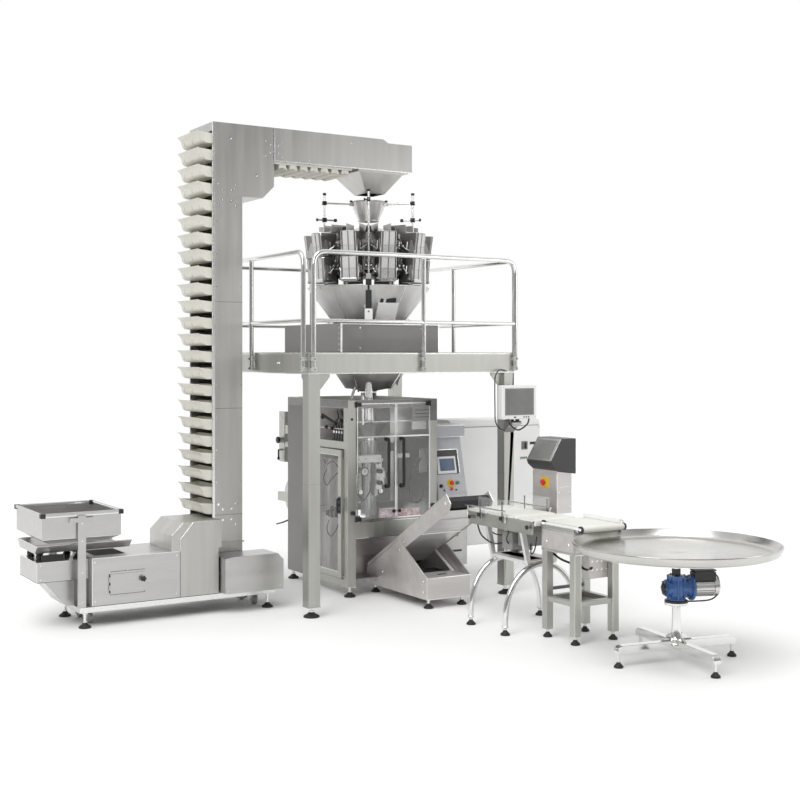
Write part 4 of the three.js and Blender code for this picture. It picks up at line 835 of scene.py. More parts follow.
def hopper_bank():
    """Feed and weigh hoppers with their face leaves, edges, levers and springs."""
    shells, faces, edges, links, levers = pieces(5)
    for i in range(HEADS):
        turn_all((shells, faces, edges, links, levers), head_angle(i))
        for h, fold in ((FEED_HOPPER, 0.42), (WEIGH_HOPPER, 0.5)):
            hopper_shell(shells, **vars(h))
            w, z0, z1 = h.width / 2, h.z0, h.z1
            foot, top = face_reach(h, z0), face_reach(h, z1)
            # Two face leaves with a dark joint between them, each folded across its middle.
            zf = z0 + (z1 - z0) * fold
            for y0, y1 in ((-w + 15, -5), (5, w - 15)):
                for low, high, tilt in ((z0 + 5, zf - 1, -3), (zf + 1, z1 - 5, 3)):
                    faces.prism("xz", [(face_reach(h, low, 0.4), low), (face_reach(h, high, 0.4), high),
                                       (face_reach(h, high, 3.4 + max(tilt, 0)), high),
                                       (face_reach(h, low, 3.4 + max(-tilt, 0)), low)], y0, y1)
            for side in (-1, 1):
                y = side * (w + 1)
                edges.prism("xz", [(foot - 12, z0 + 3), (top - 12, z1 - 3), (top - 3, z1 - 3),
                                   (foot - 3, z0 + 3)], y - 1.6, y + 1.6)
            edges.tube([(h.r0 + 8, -w, z1), (top - 14, -w, z1), (top, -w + 14, z1), (top, w - 14, z1),
                        (top - 14, w, z1), (h.r0 + 8, w, z1)], 3.2, 6)
            links.rod((foot + 6, -w + 6, z0 + 16), (foot + 6, w - 6, z0 + 16), 4, sides=10)
            for side in (-1, 1):
                y = side * (w - 2)
                levers.prism("xz", [(470, z0 + 24), (482, z0 + 10), (foot + 4, z0 + 10), (foot + 4, z0 + 24),
                                    (500, z1 - 60), (486, z1 - 60)], y - 3 + side * 7, y + 3 + side * 7)
                links.rod((476, y + side * 3, z0 + 18), (476, y + side * 14, z0 + 18), 9, sides=12)
                coil = [(k * 5, 6 if k % 2 else 4) for k in range(15)]
                links.turned((452, y + side * 11, z0 + 60), (0.1, 0, 1), coil, 8)
    for i in range(HEADS):
        a = head_angle(i) + HEAD_STEP / 2
        turn_all((shells, levers), a)
        shells.box(376, 386, -62, 62, 2698, 2992)
    bank = shells.make("weigher_hoppers", STEEL_DARK, bevel=0.6)
    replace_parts(bank, "hopper_bank")
    faces.make("hopper_faces", PLATE, bevel=0.8)
    edges.make("hopper_edges", HIGHLIGHT_STEEL)
    links.make("hopper_links", TUBE)
    levers.make("hopper_levers", STEEL, bevel=0.5)


def actuators():
    """Motor housings, links and cables in the gaps between the heads."""
    boxes, dark, cables, small = pieces(4)
    chance = random.Random(7)
    for i in range(HEADS):
        turn_all((boxes, dark, cables, small), head_angle(i) + HEAD_STEP / 2)
        boxes.box(388, 424, -40, 40, 2876, 2978)
        boxes.prism("xz", [(388, 2716), (440, 2732), (440, 2800), (424, 2862), (388, 2868)], -34, 34)
        for y in (-22, 22):
            dark.rod((424, y, 2938), (456, y, 2938), 17, sides=20)
            dark.rod((440, y, 2768), (464, y, 2768), 19, sides=20)
            dark.box(426, 446, y - 12, y + 12, 2880, 2912)
            small.rod((455, y, 2938), (466, y, 2938), 7, sides=12)
            small.rod((463, y, 2768), (472, y, 2768), 8, sides=12)
            small.bolt((440, y * 1.2, 2812), RIGHT, 5, 4)
            small.bolt((424, y * 1.4, 2966), RIGHT, 4.5, 3.5)
        small.box(424, 440, -6, 6, 2916, 2972)
        dark.rod((404, 0, 2692), (404, 0, 2722), 26, sides=20)
        for k in range(4):
            y = -30 + 20 * k
            sway = chance.uniform(10, 34)
            reach = chance.uniform(14, 38)
            cables.tube(curve([(424, y, 2960 - 8 * k), (424 + reach, y + sway / 2, 2900),
                               (430 + reach, y - sway / 2, 2820), (430, -y, 2740), (400, -y * 0.6, 2706)], 5),
                        4.2, 6)
        # Links that open the gates of the two neighbouring hoppers.
        for side in (-1, 1):
            small.rod((452, side * 22, 2768), (478, side * 66, 2700), 4, sides=8)
            small.rod((446, side * 22, 2938), (486, side * 70, 2900), 4, sides=8)
            dark.rod((474, side * 60, 2706), (482, side * 72, 2694), 8, sides=12)
    boxes.make("actuator_housings", STEEL_DARK, bevel=2)
    dark.make("actuator_motors", BLACK, bevel=1)
    cables.make("actuator_cables", HOSE)
    small.make("actuator_fittings", TUBE)


def weigher_top():
    """Radial pans, the fittings between them and the spreading cone."""
    rim, pans, crown = pieces(3)
    for i in range(HEADS):
        turn_all((rim, pans, crown), head_angle(i))
        for side in (-1, 1):
            rim.tube([(236, side * 57, 3121), (430, side * 57, 3121)], 3.4, 8)
            pans.prism("xz", [(430, 3060), (434, 3060), (462, 3030), (458, 3030)], side * 53 - 2,
                       side * 53 + 2)
        pans.prism("xz", [(428, 3062), (431, 3066), (464, 3028), (461, 3025)], -54, 54)
        pans.rod((330, 0, 3006), (330, 0, 3058), 34, sides=24)
    for i in range(HEADS):
        crown.on_axis(head_angle(i) + HEAD_STEP / 2)
        crown.turned((300, 0, 3061), UP, [(0, 22), (26, 22), (32, 18), (34, 8)], 20)
        crown.prism("yz", [(-30, 3060), (30, 3060), (20, 3104), (-20, 3104)], 342, 348)
    rim.make("pan_rims", HIGHLIGHT_STEEL)
    pans.make("pan_spouts_and_vibrators", PLATE, bevel=0.6)
    crown.make("drum_top_fittings", BLACK, bevel=1)
    cone = Piece().on_axis()
    cone.turned(ORIGIN, UP, [(3062.5, 60), (3080, 60), (3080, 213), (3084, 215), (3090, 204), (3112, 132),
                             (3130, 78), (3142, 44), (3149, 18), (3150, 4)], 56)
    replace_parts(cone.make("spreading_cone", DISH, "distribution_cone"), "distribution_cone")


def feed_stand():
    """The feed cone on its stand of rods, with level sensors."""
    s = STAND
    metal, cone, knobs = pieces(3)
    cone.on_axis()
    columns = []
    for a in around(96):
        wave = 1 + 0.022 * max(0.0, cos(a * 12)) ** 3
        profile = [(84 * wave, 3182), (149 * wave, 3336), (154, 3343), (158, 3349), (154, 3352), (146, 3338),
                   (79, 3182)]
        columns.append([(r * cos(a), r * sin(a), z) for r, z in profile])
    cone.skin(columns, loop=True)
    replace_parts(cone.make("feed_cone", PLATE, sharp=50), "feed_stand")
    collar = Piece().on_axis()
    collar.ring(ORIGIN, UP, [(3178, 78), (3178, 90), (3190, 91), (3190, 80)], 48)
    for gap in s.gaps:
        turn = STRUT_ANGLE + gap * HEAD_STEP
        turn_all((metal, knobs, collar), turn)
        metal.box(290, s.reach + 14, -22, 22, s.foot, s.foot + 10)
        metal.rod((s.reach, 0, s.foot + 5), (s.reach, 0, s.top), 9, sides=20)
        metal.turned((s.reach, 0, s.foot + 10), UP, [(0, 20), (5, 20), (9, 13), (28, 13), (30, 10)], 20)
        metal.rod((137, 0, s.level), (s.reach + 22, 0, s.level), 7.5, sides=16)
        knobs.turned((s.reach, 0, s.top - 8), UP, [(0, 10), (2, 15), (18, 15.5), (21, 11), (22, 4)], 20)
        collar.box(134, 172, -20, 20, s.level - 14, s.level + 14)
        knobs.turned((160, 0, s.level + 13), UP, [(0, 5), (6, 5), (7, 13), (18, 13), (21, 8)], 16)
        knobs.box(s.reach - 17, s.reach + 17, -15, 15, s.level - 17, s.level + 17)
        knobs.rod((s.reach, -30, s.level), (s.reach, 15, s.level), 6, sides=12)
        knobs.turned((s.reach, -28, s.level), FRONT, [(0, 6), (1, 13), (10, 14), (14, 9)], 16)
        if gap in s.sensors:
            metal.rod((s.reach - 84, 0, s.sensor), (s.reach + 62, 0, s.sensor), 7.5, sides=16)
            knobs.turned((s.reach - 84, 0, s.sensor), LEFT, [(0, 9), (2, 14), (24, 14.5), (26, 11), (30, 4)],
                         20)
            knobs.turned((s.reach + 56, 0, s.sensor), RIGHT, [(0, 8), (2, 13), (15, 13), (18, 8)], 20)
            knobs.box(s.reach - 18, s.reach + 18, -15, 15, s.sensor - 18, s.sensor + 18)
            knobs.rod((s.reach, -34, s.sensor), (s.reach, 15, s.sensor), 6, sides=12)
            knobs.turned((s.reach, -30, s.sensor), FRONT, [(0, 6), (1, 12), (10, 13), (13, 8)], 16)
    metal.on_axis(STRUT_ANGLE)
    metal.rod((478, 0, 2656), (478, 0, 3010), 8.5, sides=20)
    metal.box(396, 488, -11, 11, 2996, 3012)
    metal.make("feed_stand_rods", TUBE)
    collar.make("feed_cone_collar", STEEL, bevel=0.8)
    knobs.make("feed_stand_knobs", BLACK, bevel=1.5)


def chute_corner(z):
    """How far the chutes' corners stand from the weigher's axis at height z."""
    return 300 + 235 * (z - 2284) / 316


def chute_apothem(z, lift=0.0):
    """How far the middles of the chutes' faces stand from the axis at height z."""
    return chute_corner(z) * cos(HEAD_STEP / 2) + lift


def chute_details():
    """Folds and rims of the collating chutes, their electrical box and struts."""
    folds, rim, panel, dark, block, bolts, lips = pieces(7)
    for i in range(1, HEADS):
        if i == HEADS // 2:
            continue
        a = STRUT_ANGLE + i * HEAD_STEP
        low = (AXIS[0] + 301 * cos(a), AXIS[1] + 301 * sin(a), 2286)
        high = (AXIS[0] + 536 * cos(a), AXIS[1] + 536 * sin(a), 2599)
        folds.tube([low, high], 3.4, 8)
    for half in (0, pi):
        points = []
        for i in range(0, HEADS // 2 + 1):
            a = STRUT_ANGLE + half + i * HEAD_STEP
            skew = {0: 0.085, HEADS // 2: -0.085}.get(i, 0)
            points.append((AXIS[0] + 534 * cos(a + skew), AXIS[1] + 534 * sin(a + skew), 2601))
        rim.tube(points, 5, 8)
    # Electrical box on the front chute, right of the strut.
    panel.on_axis(head_angle(0) + 0.03)
    z0, z1 = 2300, 2462
    panel.prism("xz", [(chute_apothem(z0, 3), z0), (chute_apothem(z1, 3), z1),
                       (chute_apothem(z1, 40), z1 - 12), (chute_apothem(z0, 40), z0 - 12)], -72, 112)
    dark.on_axis(head_angle(0) + 0.03)
    dark.prism("xz", [(chute_apothem(z1, -2), z1 + 2), (chute_apothem(z1 + 34, -2), z1 + 36),
                      (chute_apothem(z1 + 34, 12), z1 + 26), (chute_apothem(z1, 12), z1 - 8)], -50, 90)
    for half in (0, pi):
        turn_all((dark, block, bolts, lips), STRUT_ANGLE + half)
        dark.box(453, 503, -25, 25, 2405, 2652)
        dark.box(330, 452, -8, 8, 2300, 2600)
        # Lips of the two half chutes that close in on the strut.
        for side in (-1, 1):
            rings = []
            for z in (2334, 2598):
                corner = chute_corner(z)
                ring = []
                for t, lift in ((9, 0.5), (52, 0.5), (52, 4), (9, 4)):
                    ring.append((corner - 0.309 * t + 0.951 * lift, side * (0.951 * t + 0.309 * lift), z))
                rings.append(ring)
            lips.skin(rings)
        block.box(443, 513, -33, 33, 2278, 2402)
        for z in (2300, 2380):
            bolts.bolt((513, 0, z), RIGHT, 6, 5)
        bolts.ring((480, -34, 2420), BACK, [(0, 8), (0, 14), (6, 14), (6, 8)], 16)
    # Eye bolts that hold the two half chutes.
    for i in (2, 3, 7, 8):
        turn_all((bolts, dark), head_angle(i))
        bolts.rod((chute_apothem(2310), 0, 2310), (chute_apothem(2310) + 34, 0, 2310), 6, sides=12)
        bolts.ring((chute_apothem(2310) + 44, -4, 2310), BACK, [(0, 9), (0, 17), (8, 17), (8, 9)], 20)
        dark.prism("xz", [(chute_apothem(2560, 1), 2560), (chute_apothem(2590, 1), 2590),
                          (chute_apothem(2590, 22), 2590), (chute_apothem(2560, 16), 2560)], -20, 20)
    lips.make("chute_lips", CHUTE)
    folds.make("chute_folds", HIGHLIGHT_STEEL)
    rim.make("chute_rims", HIGHLIGHT_STEEL)
    panel.make("chute_electrical_box", WHITE, bevel=3)
    dark.make("strut_covers", BLACK, bevel=1.5)
    block.make("strut_blocks", WHITE, bevel=3)
    bolts.make("chute_bolts", TUBE)


def base_details():
    """Trims, shadow gap and screws of the weigher's base box."""
    seam, bolts, dark = pieces(3)
    x0, x1, y0, y1, z0, z1 = WEIGHER_BASE
    for y in (y0 - 1.2, y1 - 1):
        seam.box(x0 + 2, x1 - 2, y, y + 2.2, z1 - 8, z1 - 2)
    seam.box(x0 - 1.4, x0 + 12, y0 - 1.6, y0 + 8, z0 + 2, z1)
    seam.box(x1 - 12, x1 + 1.4, y0 - 1.6, y0 + 8, z0 + 2, z1)
    dark.box(x0 - 0.8, x1 + 0.8, y0 - 0.8, y1 + 0.8, z0 - 0.5, z0 + 5)
    for x in (-380, 220):
        for z in (2075, 2240):
            bolts.bolt((x, y0 - 0.2, z), FRONT, 4, 3)
    for z in range(2060, 2270, 45):
        bolts.bolt((x0 - 1.4, y0 + 30, z), LEFT, 4, 3)
    seam.make("base_edge_trims", HIGHLIGHT_STEEL, bevel=0.8)
    dark.make("base_shadow_gap", SHADE_AND_JOINT_BLACK)
    bolts.make("base_cover_bolts", TUBE)


hopper_bank()
actuators()
weigher_top()
feed_stand()
chute_details()
base_details()


# ---------------------------------------------------------------- work platform
SPLICE = 1020
PLATFORM = Sizes(left=-1090, right=860, front=-920, back=980, top=2030, beam=160, post=100)
RAIL = Sizes(top=2810, mid=2280, radius=19, corner=110, foot=1890, stand_off=25.5)


def handrail(name, node, route, posts):
    """A bent top tube that runs down as its end posts, further posts, a middle rail and clips."""
    r = RAIL.radius
    metal, clips, bolts = pieces(3)
    top = [(x, y, RAIL.top) for x, y in route]
    loop = [(*route[0], RAIL.foot)] + top + [(*route[-1], RAIL.foot)]
    metal.tube(bend(loop, RAIL.corner, 10), r, 20)
    middle = [(x, y, RAIL.mid) for x, y in route]
    metal.tube(bend(middle, RAIL.corner, 8) if len(middle) > 2 else middle, r * 0.8, 16)
    for x, y, dx, dy, is_end in posts:
        if not is_end:
            metal.rod((x, y, RAIL.foot), (x, y, RAIL.top), r * 0.95, sides=20)
        for z in (RAIL.top - 14, RAIL.mid - 6):
            if not is_end:
                metal.turned((x, y, z - 8), UP, [(0, r * 0.95), (4, r * 1.04), (14, r * 1.04)], 20)
        metal.turned((x, y, RAIL.foot - 4), UP, [(0, r * 0.8), (2, r * 1.04), (8, r * 1.04)], 20)
        reach = RAIL.stand_off + 0.5
        for z in (1905, 1985):
            x0, x1 = sorted((x - dx * 3, x + dx * reach)) if dx else (x - 24, x + 24)
            y0, y1 = sorted((y - dy * 3, y + dy * reach)) if dy else (y - 24, y + 24)
            clips.box(x0, x1, y0, y1, z - 13, z + 13)
            clips.ring((x, y, z - 13), UP, [(0, r), (0, r + 6), (26, r + 6), (26, r)], 24)
            side = (-1 if dx > 0 else 1 if dx else 0, -1 if dy > 0 else 1 if dy else 0)
            bolts.bolt((x + side[0] * (r + 5), y + side[1] * (r + 5), z), (*side, 0), 5, 4)
    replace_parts(metal.make(name, TUBE), node)
    clips.make(name + "_clips", PLATE, bevel=1.2)
    bolts.make(name + "_bolts", STEEL_DARK)


def platform_details():
    """Lips of the beams, plates and welds of the legs, and the deck's raised dots."""
    p = PLATFORM
    low = p.top - p.beam
    lips, plates, seams, welds = pieces(4)
    # Folded lips of the rim beams, and the edge of the deck, as painted highlight.
    for z0, z1 in ((p.top - 7, p.top + 0.4), (low - 1, low + 7)):
        lips.box(p.left - 1.2, p.right + 1.2, p.front - 1.6, p.front + 3, z0, z1)
        lips.box(p.left - 1.2, p.right + 1.2, p.back - 3, p.back + 1.6, z0, z1)
        lips.box(p.left - 1.6, p.left + 3, p.front, p.back, z0, z1)
        lips.box(p.right - 3, p.right + 1.6, p.front, p.back, z0, z1)
    lips.make("platform_lips", HIGHLIGHT_STEEL, bevel=0.8)
    for x in (p.left + p.post / 2, p.right - p.post / 2):
        for y in (p.front + p.post / 2, p.back - p.post / 2):
            half = p.post / 2
            plates.box(x - half - 3, x + half + 3, y - half - 3, y + half + 3, 76, 84)
            seams.box(x - half - 0.5, x + half + 0.5, y - half - 0.5, y + half + 0.5, SPLICE, SPLICE + 1.6)
            dx, dy = (1 if x < 0 else -1), (1 if y < 0 else -1)
            welds.tube([(x + dx * half, y - 6, low - 148), (x + dx * (half + 108), y - 6, low - 18)], 2.4, 6)
            welds.tube([(x - 6, y + dy * half, low - 148), (x - 6, y + dy * (half + 108), low - 18)], 2.4, 6)
            welds.tube([(x - half, y - half, low), (x + half, y - half, low)], 2.2, 6)
            welds.tube([(x - half, y - half, low), (x - half, y + half, low)], 2.2, 6)
    plates.make("leg_foot_plates", STEEL, bevel=1)
    seams.make("leg_splices", STEEL_DARK)
    welds.make("platform_welds", HIGHLIGHT_STEEL)
    bolts = Piece()
    for y in (-400, 400):
        for dy in (-14, 14):
            bolts.bolt((p.left - 1.6, y + dy, low + 80), LEFT, 8, 6)
            bolts.bolt((p.right + 1.6, y + dy, low + 80), RIGHT, 8, 6)
    bolts.make("joist_bolts", TUBE)
    # Raised dots on the deck plate.
    dots = Piece()
    z = p.top + 7
    for i in range(19):
        for k in range(19):
            x, y = p.left + 75 + i * 100, p.front + 60 + k * 100
            if abs(x + 20) < 660 and abs(y - 10) < 620:
                continue
            dots.turned((x, y, z - 0.5), UP, [(0, 15), (1, 14), (2.2, 6)], 8)
    dots.make("deck_dots", STEEL_LEVEL)


DISPLAY = (838, -998, 1452)


def weigher_display():
    """Screen, pivot, arm and cable."""
    x, y, z = DISPLAY
    shell, screen, trim, dark, bolts = pieces(5)
    shell.box(x - 181, x + 181, y - 30, y + 31, z + 27, z + 312)
    piece = shell.make("display_case", WHITE, "weigher_display", bevel=7)
    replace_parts(piece, "weigher_display")
    trim.box(x - 150, x + 150, y - 33.5, y - 28, z + 62, z + 286)
    trim.make("display_bezel", GREY, "weigher_display", bevel=2)
    screen.box(x - 138, x + 138, y - 35, y - 32, z + 74, z + 274)
    screen.make("display_screen", SCREEN_GREY, "weigher_display", bevel=1)
    dark.box(x - 60, x - 36, y - 32, y - 29, z + 40, z + 50)
    for k in range(3):
        dark.box(x + 40 + k * 24, x + 54 + k * 24, y - 31.6, y - 29, z + 40, z + 50)
    dark.turned((x, y, z + 0.5), UP, [(0, 33), (5, 34), (10, 30), (12, 17), (30, 17)], 28)
    dark.make("display_pivot", BLACK, "weigher_display", bevel=0.8)
    for dx in (-166, 166):
        for dz in (44, 296):
            bolts.turned((x + dx, y - 29.5, z + dz), FRONT, [(0, 6), (2, 6), (3, 3)], 12)
            bolts.turned((x + dx, y + 30, z + dz), BACK, [(0, 6), (2, 6), (3, 3)], 12)
    bolts.make("display_screws", TUBE, "weigher_display")
    arm = Piece()
    # The dark arm under the screen, fastened to the leg.
    arm.prism("yz", [(-912, z - 94), (-912, z - 14), (-930, z - 2), (-1022, z - 2), (-1028, z - 12),
                     (-986, z - 26)], x - 82, x + 22)
    arm.make("display_arm", GREY, bevel=2)
    yoke = Piece()
    yoke.tube(curve([(x - 120, -1034, z + 30), (x - 96, -1036, z - 20), (x - 20, -1036, z - 62),
                     (x + 70, -1036, z - 20), (x + 96, -1034, z + 30)], 8), 7, 12)
    yoke.make("display_yoke", HOSE, "weigher_display")
    cable = Piece()
    cable.tube(curve([(x - 60, -926, z + 430), (x - 150, -950, z + 440), (x - 200, -962, z + 390),
                      (x - 210, -966, z + 300), (x - 208, -966, z + 120), (x - 200, -962, z + 10),
                      (x - 150, -955, z - 50), (x - 78, -930, z - 70)], 8), 5, 10)
    cable.make("display_cable", HOSE)
    clamp = Piece()
    for dz in (-100, 0):
        clamp.bolt((x - 76, -920, z + dz + 14), FRONT, 5, 4)
        clamp.bolt((x - 34, -920, z + dz + 14), FRONT, 5, 4)
    clamp.make("display_arm_bolts", TUBE)


platform_details()
handrail("front_rail", "handrail_front", [(-1060, -945.5), (855, -945.5)], [(-1060, -945.5, 0, 1, True),
                                                                            (-62, -945.5, 0, 1, False),
                                                                            (855, -945.5, 0, 1, True)])
handrail("left_rail", "handrail_left", [(-1115.5, -880), (-1115.5, 560)], [(-1115.5, -880, 1, 0, True),
                                                                           (-1115.5, 60, 1, 0, False),
                                                                           (-1115.5, 560, 1, 0, True)])
handrail("right_and_rear_rail", "handrail_right_rear", [(885.5, -890), (885.5, 1005.5), (-1060, 1005.5)],
         [(885.5, -890, -1, 0, True), (885.5, 30, -1, 0, False), (770, 1005.5, 0, -1, False),
          (-62, 1005.5, 0, -1, False), (-1060, 1005.5, 0, -1, True)])
weigher_display()


# ---------------------------------------------------------------- bagging machine
BAGGER = Sizes(left=-430, right=454, inner_left=-352, inner_right=376, front=-355, back=760, top=1640,
               post=76)
REEL = (930, 720)
JAW_LEVEL = 535
BELT_ENDS = (830, 1100)
GAUGE = (-216, 1030)
DOOR = Sizes(bottom=636, top=1612, y=-366, strip=1322)


def front_door(name, x0, x1, handle_x, hinge_x):
    """A clear sheet with bright edge strips, a black bar handle and two knuckles."""
    y, z0, z1 = DOOR.y, DOOR.bottom, DOOR.top
    pane, strips, grip, fixings = pieces(4)
    pane.box(x0 + 1, x1 - 1, y + 2, y + 7, z0 + 1, z1 - 1)
    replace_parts(pane.make(name + "_pane", GLAZING, name), name)
    inner = x1 if handle_x < 0 else x0
    side = -1 if handle_x < 0 else 1
    strips.box(*span(inner, side * 9), y - 1, y + 9, z0, z1)
    outer = x0 if handle_x < 0 else x1
    strips.box(*span(outer, -side * 10), y - 1, y + 9, z0, z1)
    strips.box(x0, x1, y - 3, y + 1.8, DOOR.strip, DOOR.strip + 14)
    strips.box(x0, x1, y - 2, y + 9, z1 - 9, z1)
    strips.box(x0, x1, y - 2, y + 9, z0, z0 + 9)
    strips.make(name + "_strips", HIGHLIGHT_STEEL, name, bevel=0.8)
    handle = [(handle_x, y + 2, 908), (handle_x, y - 44, 908), (handle_x, y - 44, 1307),
              (handle_x, y + 2, 1307)]
    grip.tube(bend(handle, 20, 6), 13, 16)
    for z in (908, 1307):
        grip.turned((handle_x, y + 2, z), FRONT, [(0, 19), (4, 19), (6, 14)], 20)
    grip.make(name + "_handle", BLACK, name)
    for z in (z0 + 10, z1 - 10):
        fixings.rod((hinge_x, y, z - 24), (hinge_x, y, z + 24), 8, sides=16)
        fixings.box(*span(hinge_x, -side * 44), y - 4, y + 2, z - 17, z + 17)
        for k in (14, 34):
            fixings.bolt((hinge_x - side * k, y - 4, z), FRONT, 4, 3)
    fixings.turned((inner + side * 26, y + 2, z0 + 60), FRONT, [(0, 10), (4, 10), (6, 15), (18, 15), (21, 9)],
                   16)
    fixings.make(name + "_hinges", BLACK, name)


def side_door():
    """The glazed side door with its trims, hinges and latch."""
    x0, x1, y0, y1, z0, z1, rim = -452, -432.5, -272, 232, 150, 1222, 46
    frame_bars, pane, dark, trims = pieces(4)
    frame_bars.box(x0, x1, y0, y0 + rim, z0, z1)
    frame_bars.box(x0, x1, y1 - rim, y1, z0, z1)
    frame_bars.box(x0 + 0.3, x1 - 0.3, y0 + rim - 0.5, y1 - rim + 0.5, z0, z0 + rim)
    frame_bars.box(x0 + 0.3, x1 - 0.3, y0 + rim - 0.5, y1 - rim + 0.5, z1 - rim, z1)
    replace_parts(frame_bars.make("side_door_frame", FRAME_STEEL, "side_door", bevel=1.5), "side_door")
    pane.box(x0 + 7, x0 + 12, y0 + rim - 3, y1 - rim + 3, z0 + rim - 3, z1 - rim + 3)
    pane.make("side_door_pane", GLAZING, "side_door")
    for a, b in ((y0 + rim - 1, y0 + rim + 5), (y1 - rim - 5, y1 - rim + 1)):
        trims.box(x0 + 2, x0 + 8, a, b, z0 + rim, z1 - rim)
    for a, b in ((z0 + rim - 1, z0 + rim + 5), (z1 - rim - 5, z1 - rim + 1)):
        trims.box(x0 + 2, x0 + 8, y0 + rim, y1 - rim, a, b)
    trims.make("side_door_trims", HIGHLIGHT_STEEL, "side_door", bevel=0.8)
    for z in (420, 1010):
        dark.rod((x0 - 2, y1 + 6, z - 36), (x0 - 2, y1 + 6, z + 36), 10, sides=16)
        dark.box(x0 - 4, x0, y1 - 34, y1 + 4, z - 28, z + 28)
    dark.box(x0 - 5, x0, y0 + 6, y0 + 40, 690, 830)
    dark.tube(bend([(x0 - 3, y0 + 18, 812), (x0 - 26, y0 + 18, 812), (x0 - 26, y0 + 18, 708),
                    (x0 - 3, y0 + 18, 708)], 10, 5), 8, 14)
    dark.turned((x0 - 4, y0 + 30, 760), LEFT, [(0, 12), (8, 12), (10, 8)], 16)
    dark.make("side_door_hinges_and_latch", BLACK, "side_door", bevel=1)


def forming_set():
    """Forming tube, collar, film sleeve and clamp."""
    metal, collar, film, dark = pieces(4)
    metal.on_axis().ring(ORIGIN, UP, [(640, 64), (640, 68), (1684, 68), (1690, 70), (1690, 66), (1684, 64)],
                         48)
    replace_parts(metal.make("forming_tube_skin", TUBE), "forming_tube")
    # The collar is open at the back, where the film comes over it.
    collar.on_axis()
    columns = []
    for k in range(41):
        a = radians(-240 + 300 * k / 40)
        lift = 36 * cos(a + pi / 2)
        profile = [(76, 1266 + lift), (84, 1296 + lift), (112, 1342 + lift), (150, 1392 + lift),
                   (153, 1389 + lift), (115, 1338 + lift), (87, 1293 + lift), (79, 1264 + lift)]
        columns.append([(r * cos(a), r * sin(a), z) for r, z in profile])
    collar.skin(columns)
    collar.at((0, 0, 0)).box(AXIS[0] - 40, AXIS[0] + 40, 72, 249, 1170, 1214)
    collar.box(AXIS[0] - 150, AXIS[0] + 150, 120, 128, 1205, 1300)
    collar.make("forming_collar", PLATE, bevel=0.8)
    film.on_axis().ring(ORIGIN, UP, [(620, 70), (620, 71), (1276, 73), (1276, 72)], 40)
    film.make("film_sleeve", FILM)
    dark.on_axis().ring(ORIGIN, UP, [(1700, 64), (1700, 75), (1712, 75), (1712, 64)], 40)
    for a in (0.4, 2.7):
        dark.turned((74 * cos(a), 74 * sin(a), 1706), (cos(a), sin(a), 0), [(0, 5), (10, 5), (11, 12),
                                                                            (22, 12)], 16)
    dark.make("forming_tube_clamp", BLACK)


def belt_columns(middle, y):
    """Sections of a toothed belt round its two rollers."""
    columns = []
    for k in range(48):
        a = pi * (k % 24) / 23
        z = BELT_ENDS[1]
        if k >= 24:
            a, z = pi + a, BELT_ENDS[0]
        (xa, za), (xb, zb) = [(middle + r * cos(a), z + r * sin(a)) for r in (27 + k % 2, 20)]
        columns.append([(xa, y - 29, za), (xa, y + 29, za), (xb, y + 29, zb), (xb, y - 29, zb)])
    return columns


def pull_belts():
    """Two belts on their rollers, beside the forming tube."""
    for side, name in ((-1, "pull_belt_left"), (1, "pull_belt_right")):
        belt, plates, shafts = pieces(3)
        inner, outer = AXIS[0] + side * 76, AXIS[0] + side * 128
        middle, y = (inner + outer) / 2, AXIS[1]
        columns = belt_columns(middle, y)
        belt.skin(columns, loop=True)
        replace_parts(belt.make(name + "_loop", RUBBER, name), name)
        for yy in (y - 33, y + 30):
            plates.prism("xz", [(middle - 15, 822), (middle + 15, 822), (middle + 15, 1108),
                                (middle - 15, 1108)], yy, yy + 4)
        plates.box(*span(outer, side * 60), y - 20, y + 20, 940, 1000)
        a, b = sorted((outer + side * 30, outer + side * 60))
        plates.box(a, b, y - 20, 232, 945, 995)
        plates.make(name + "_frame", PLATE, name, bevel=1.5)
        for z in BELT_ENDS:
            shafts.rod((middle, y - 40, z), (middle, y + 30, z), 19, sides=24)
            shafts.bolt((middle, y - 40, z), FRONT, 8, 6)
        shafts.rod((middle, y - 26, 965), (middle, y + 26, 965), 16, sides=20)
        shafts.make(name + "_rollers", TUBE, name)


def sealing_details():
    """Cylinders and cover of the vertical sealer, and faces of the jaws."""
    sealer, white = pieces(2)
    y = AXIS[1] - 90
    sealer.rod((AXIS[0], y - 122, 920), (AXIS[0], y - 78, 920), 20, sides=20)
    sealer.rod((AXIS[0], y - 122, 1020), (AXIS[0], y - 78, 1020), 20, sides=20)
    sealer.make("vertical_sealer_cylinders", BLACK, "vertical_sealer")
    white.box(AXIS[0] - 17, AXIS[0] + 17, y - 42, y - 36, 806, 1134)
    white.make("vertical_sealer_cover", WHITE, "vertical_sealer", bevel=1)
    for side, name in ((-1, "seal_jaw_front"), (1, "seal_jaw_rear")):
        ribs, heaters = pieces(2)
        face = AXIS[1] + side * 40
        for k in range(9):
            z = 504 + k * 7.4
            ribs.box(AXIS[0] - 186, AXIS[0] + 186, *span(face, -side * 1.8), z, z + 4)
        ribs.make(name + "_face", BRASS, name)
        back = AXIS[1] + side * 105
        for x in (-120, 0, 120):
            heaters.turned((AXIS[0] + x, back, JAW_LEVEL), (0, side, 0), [(0, 11), (22, 11), (24, 7),
                                                                          (38, 7)], 16)
        heaters.make(name + "_fittings", TUBE, name)


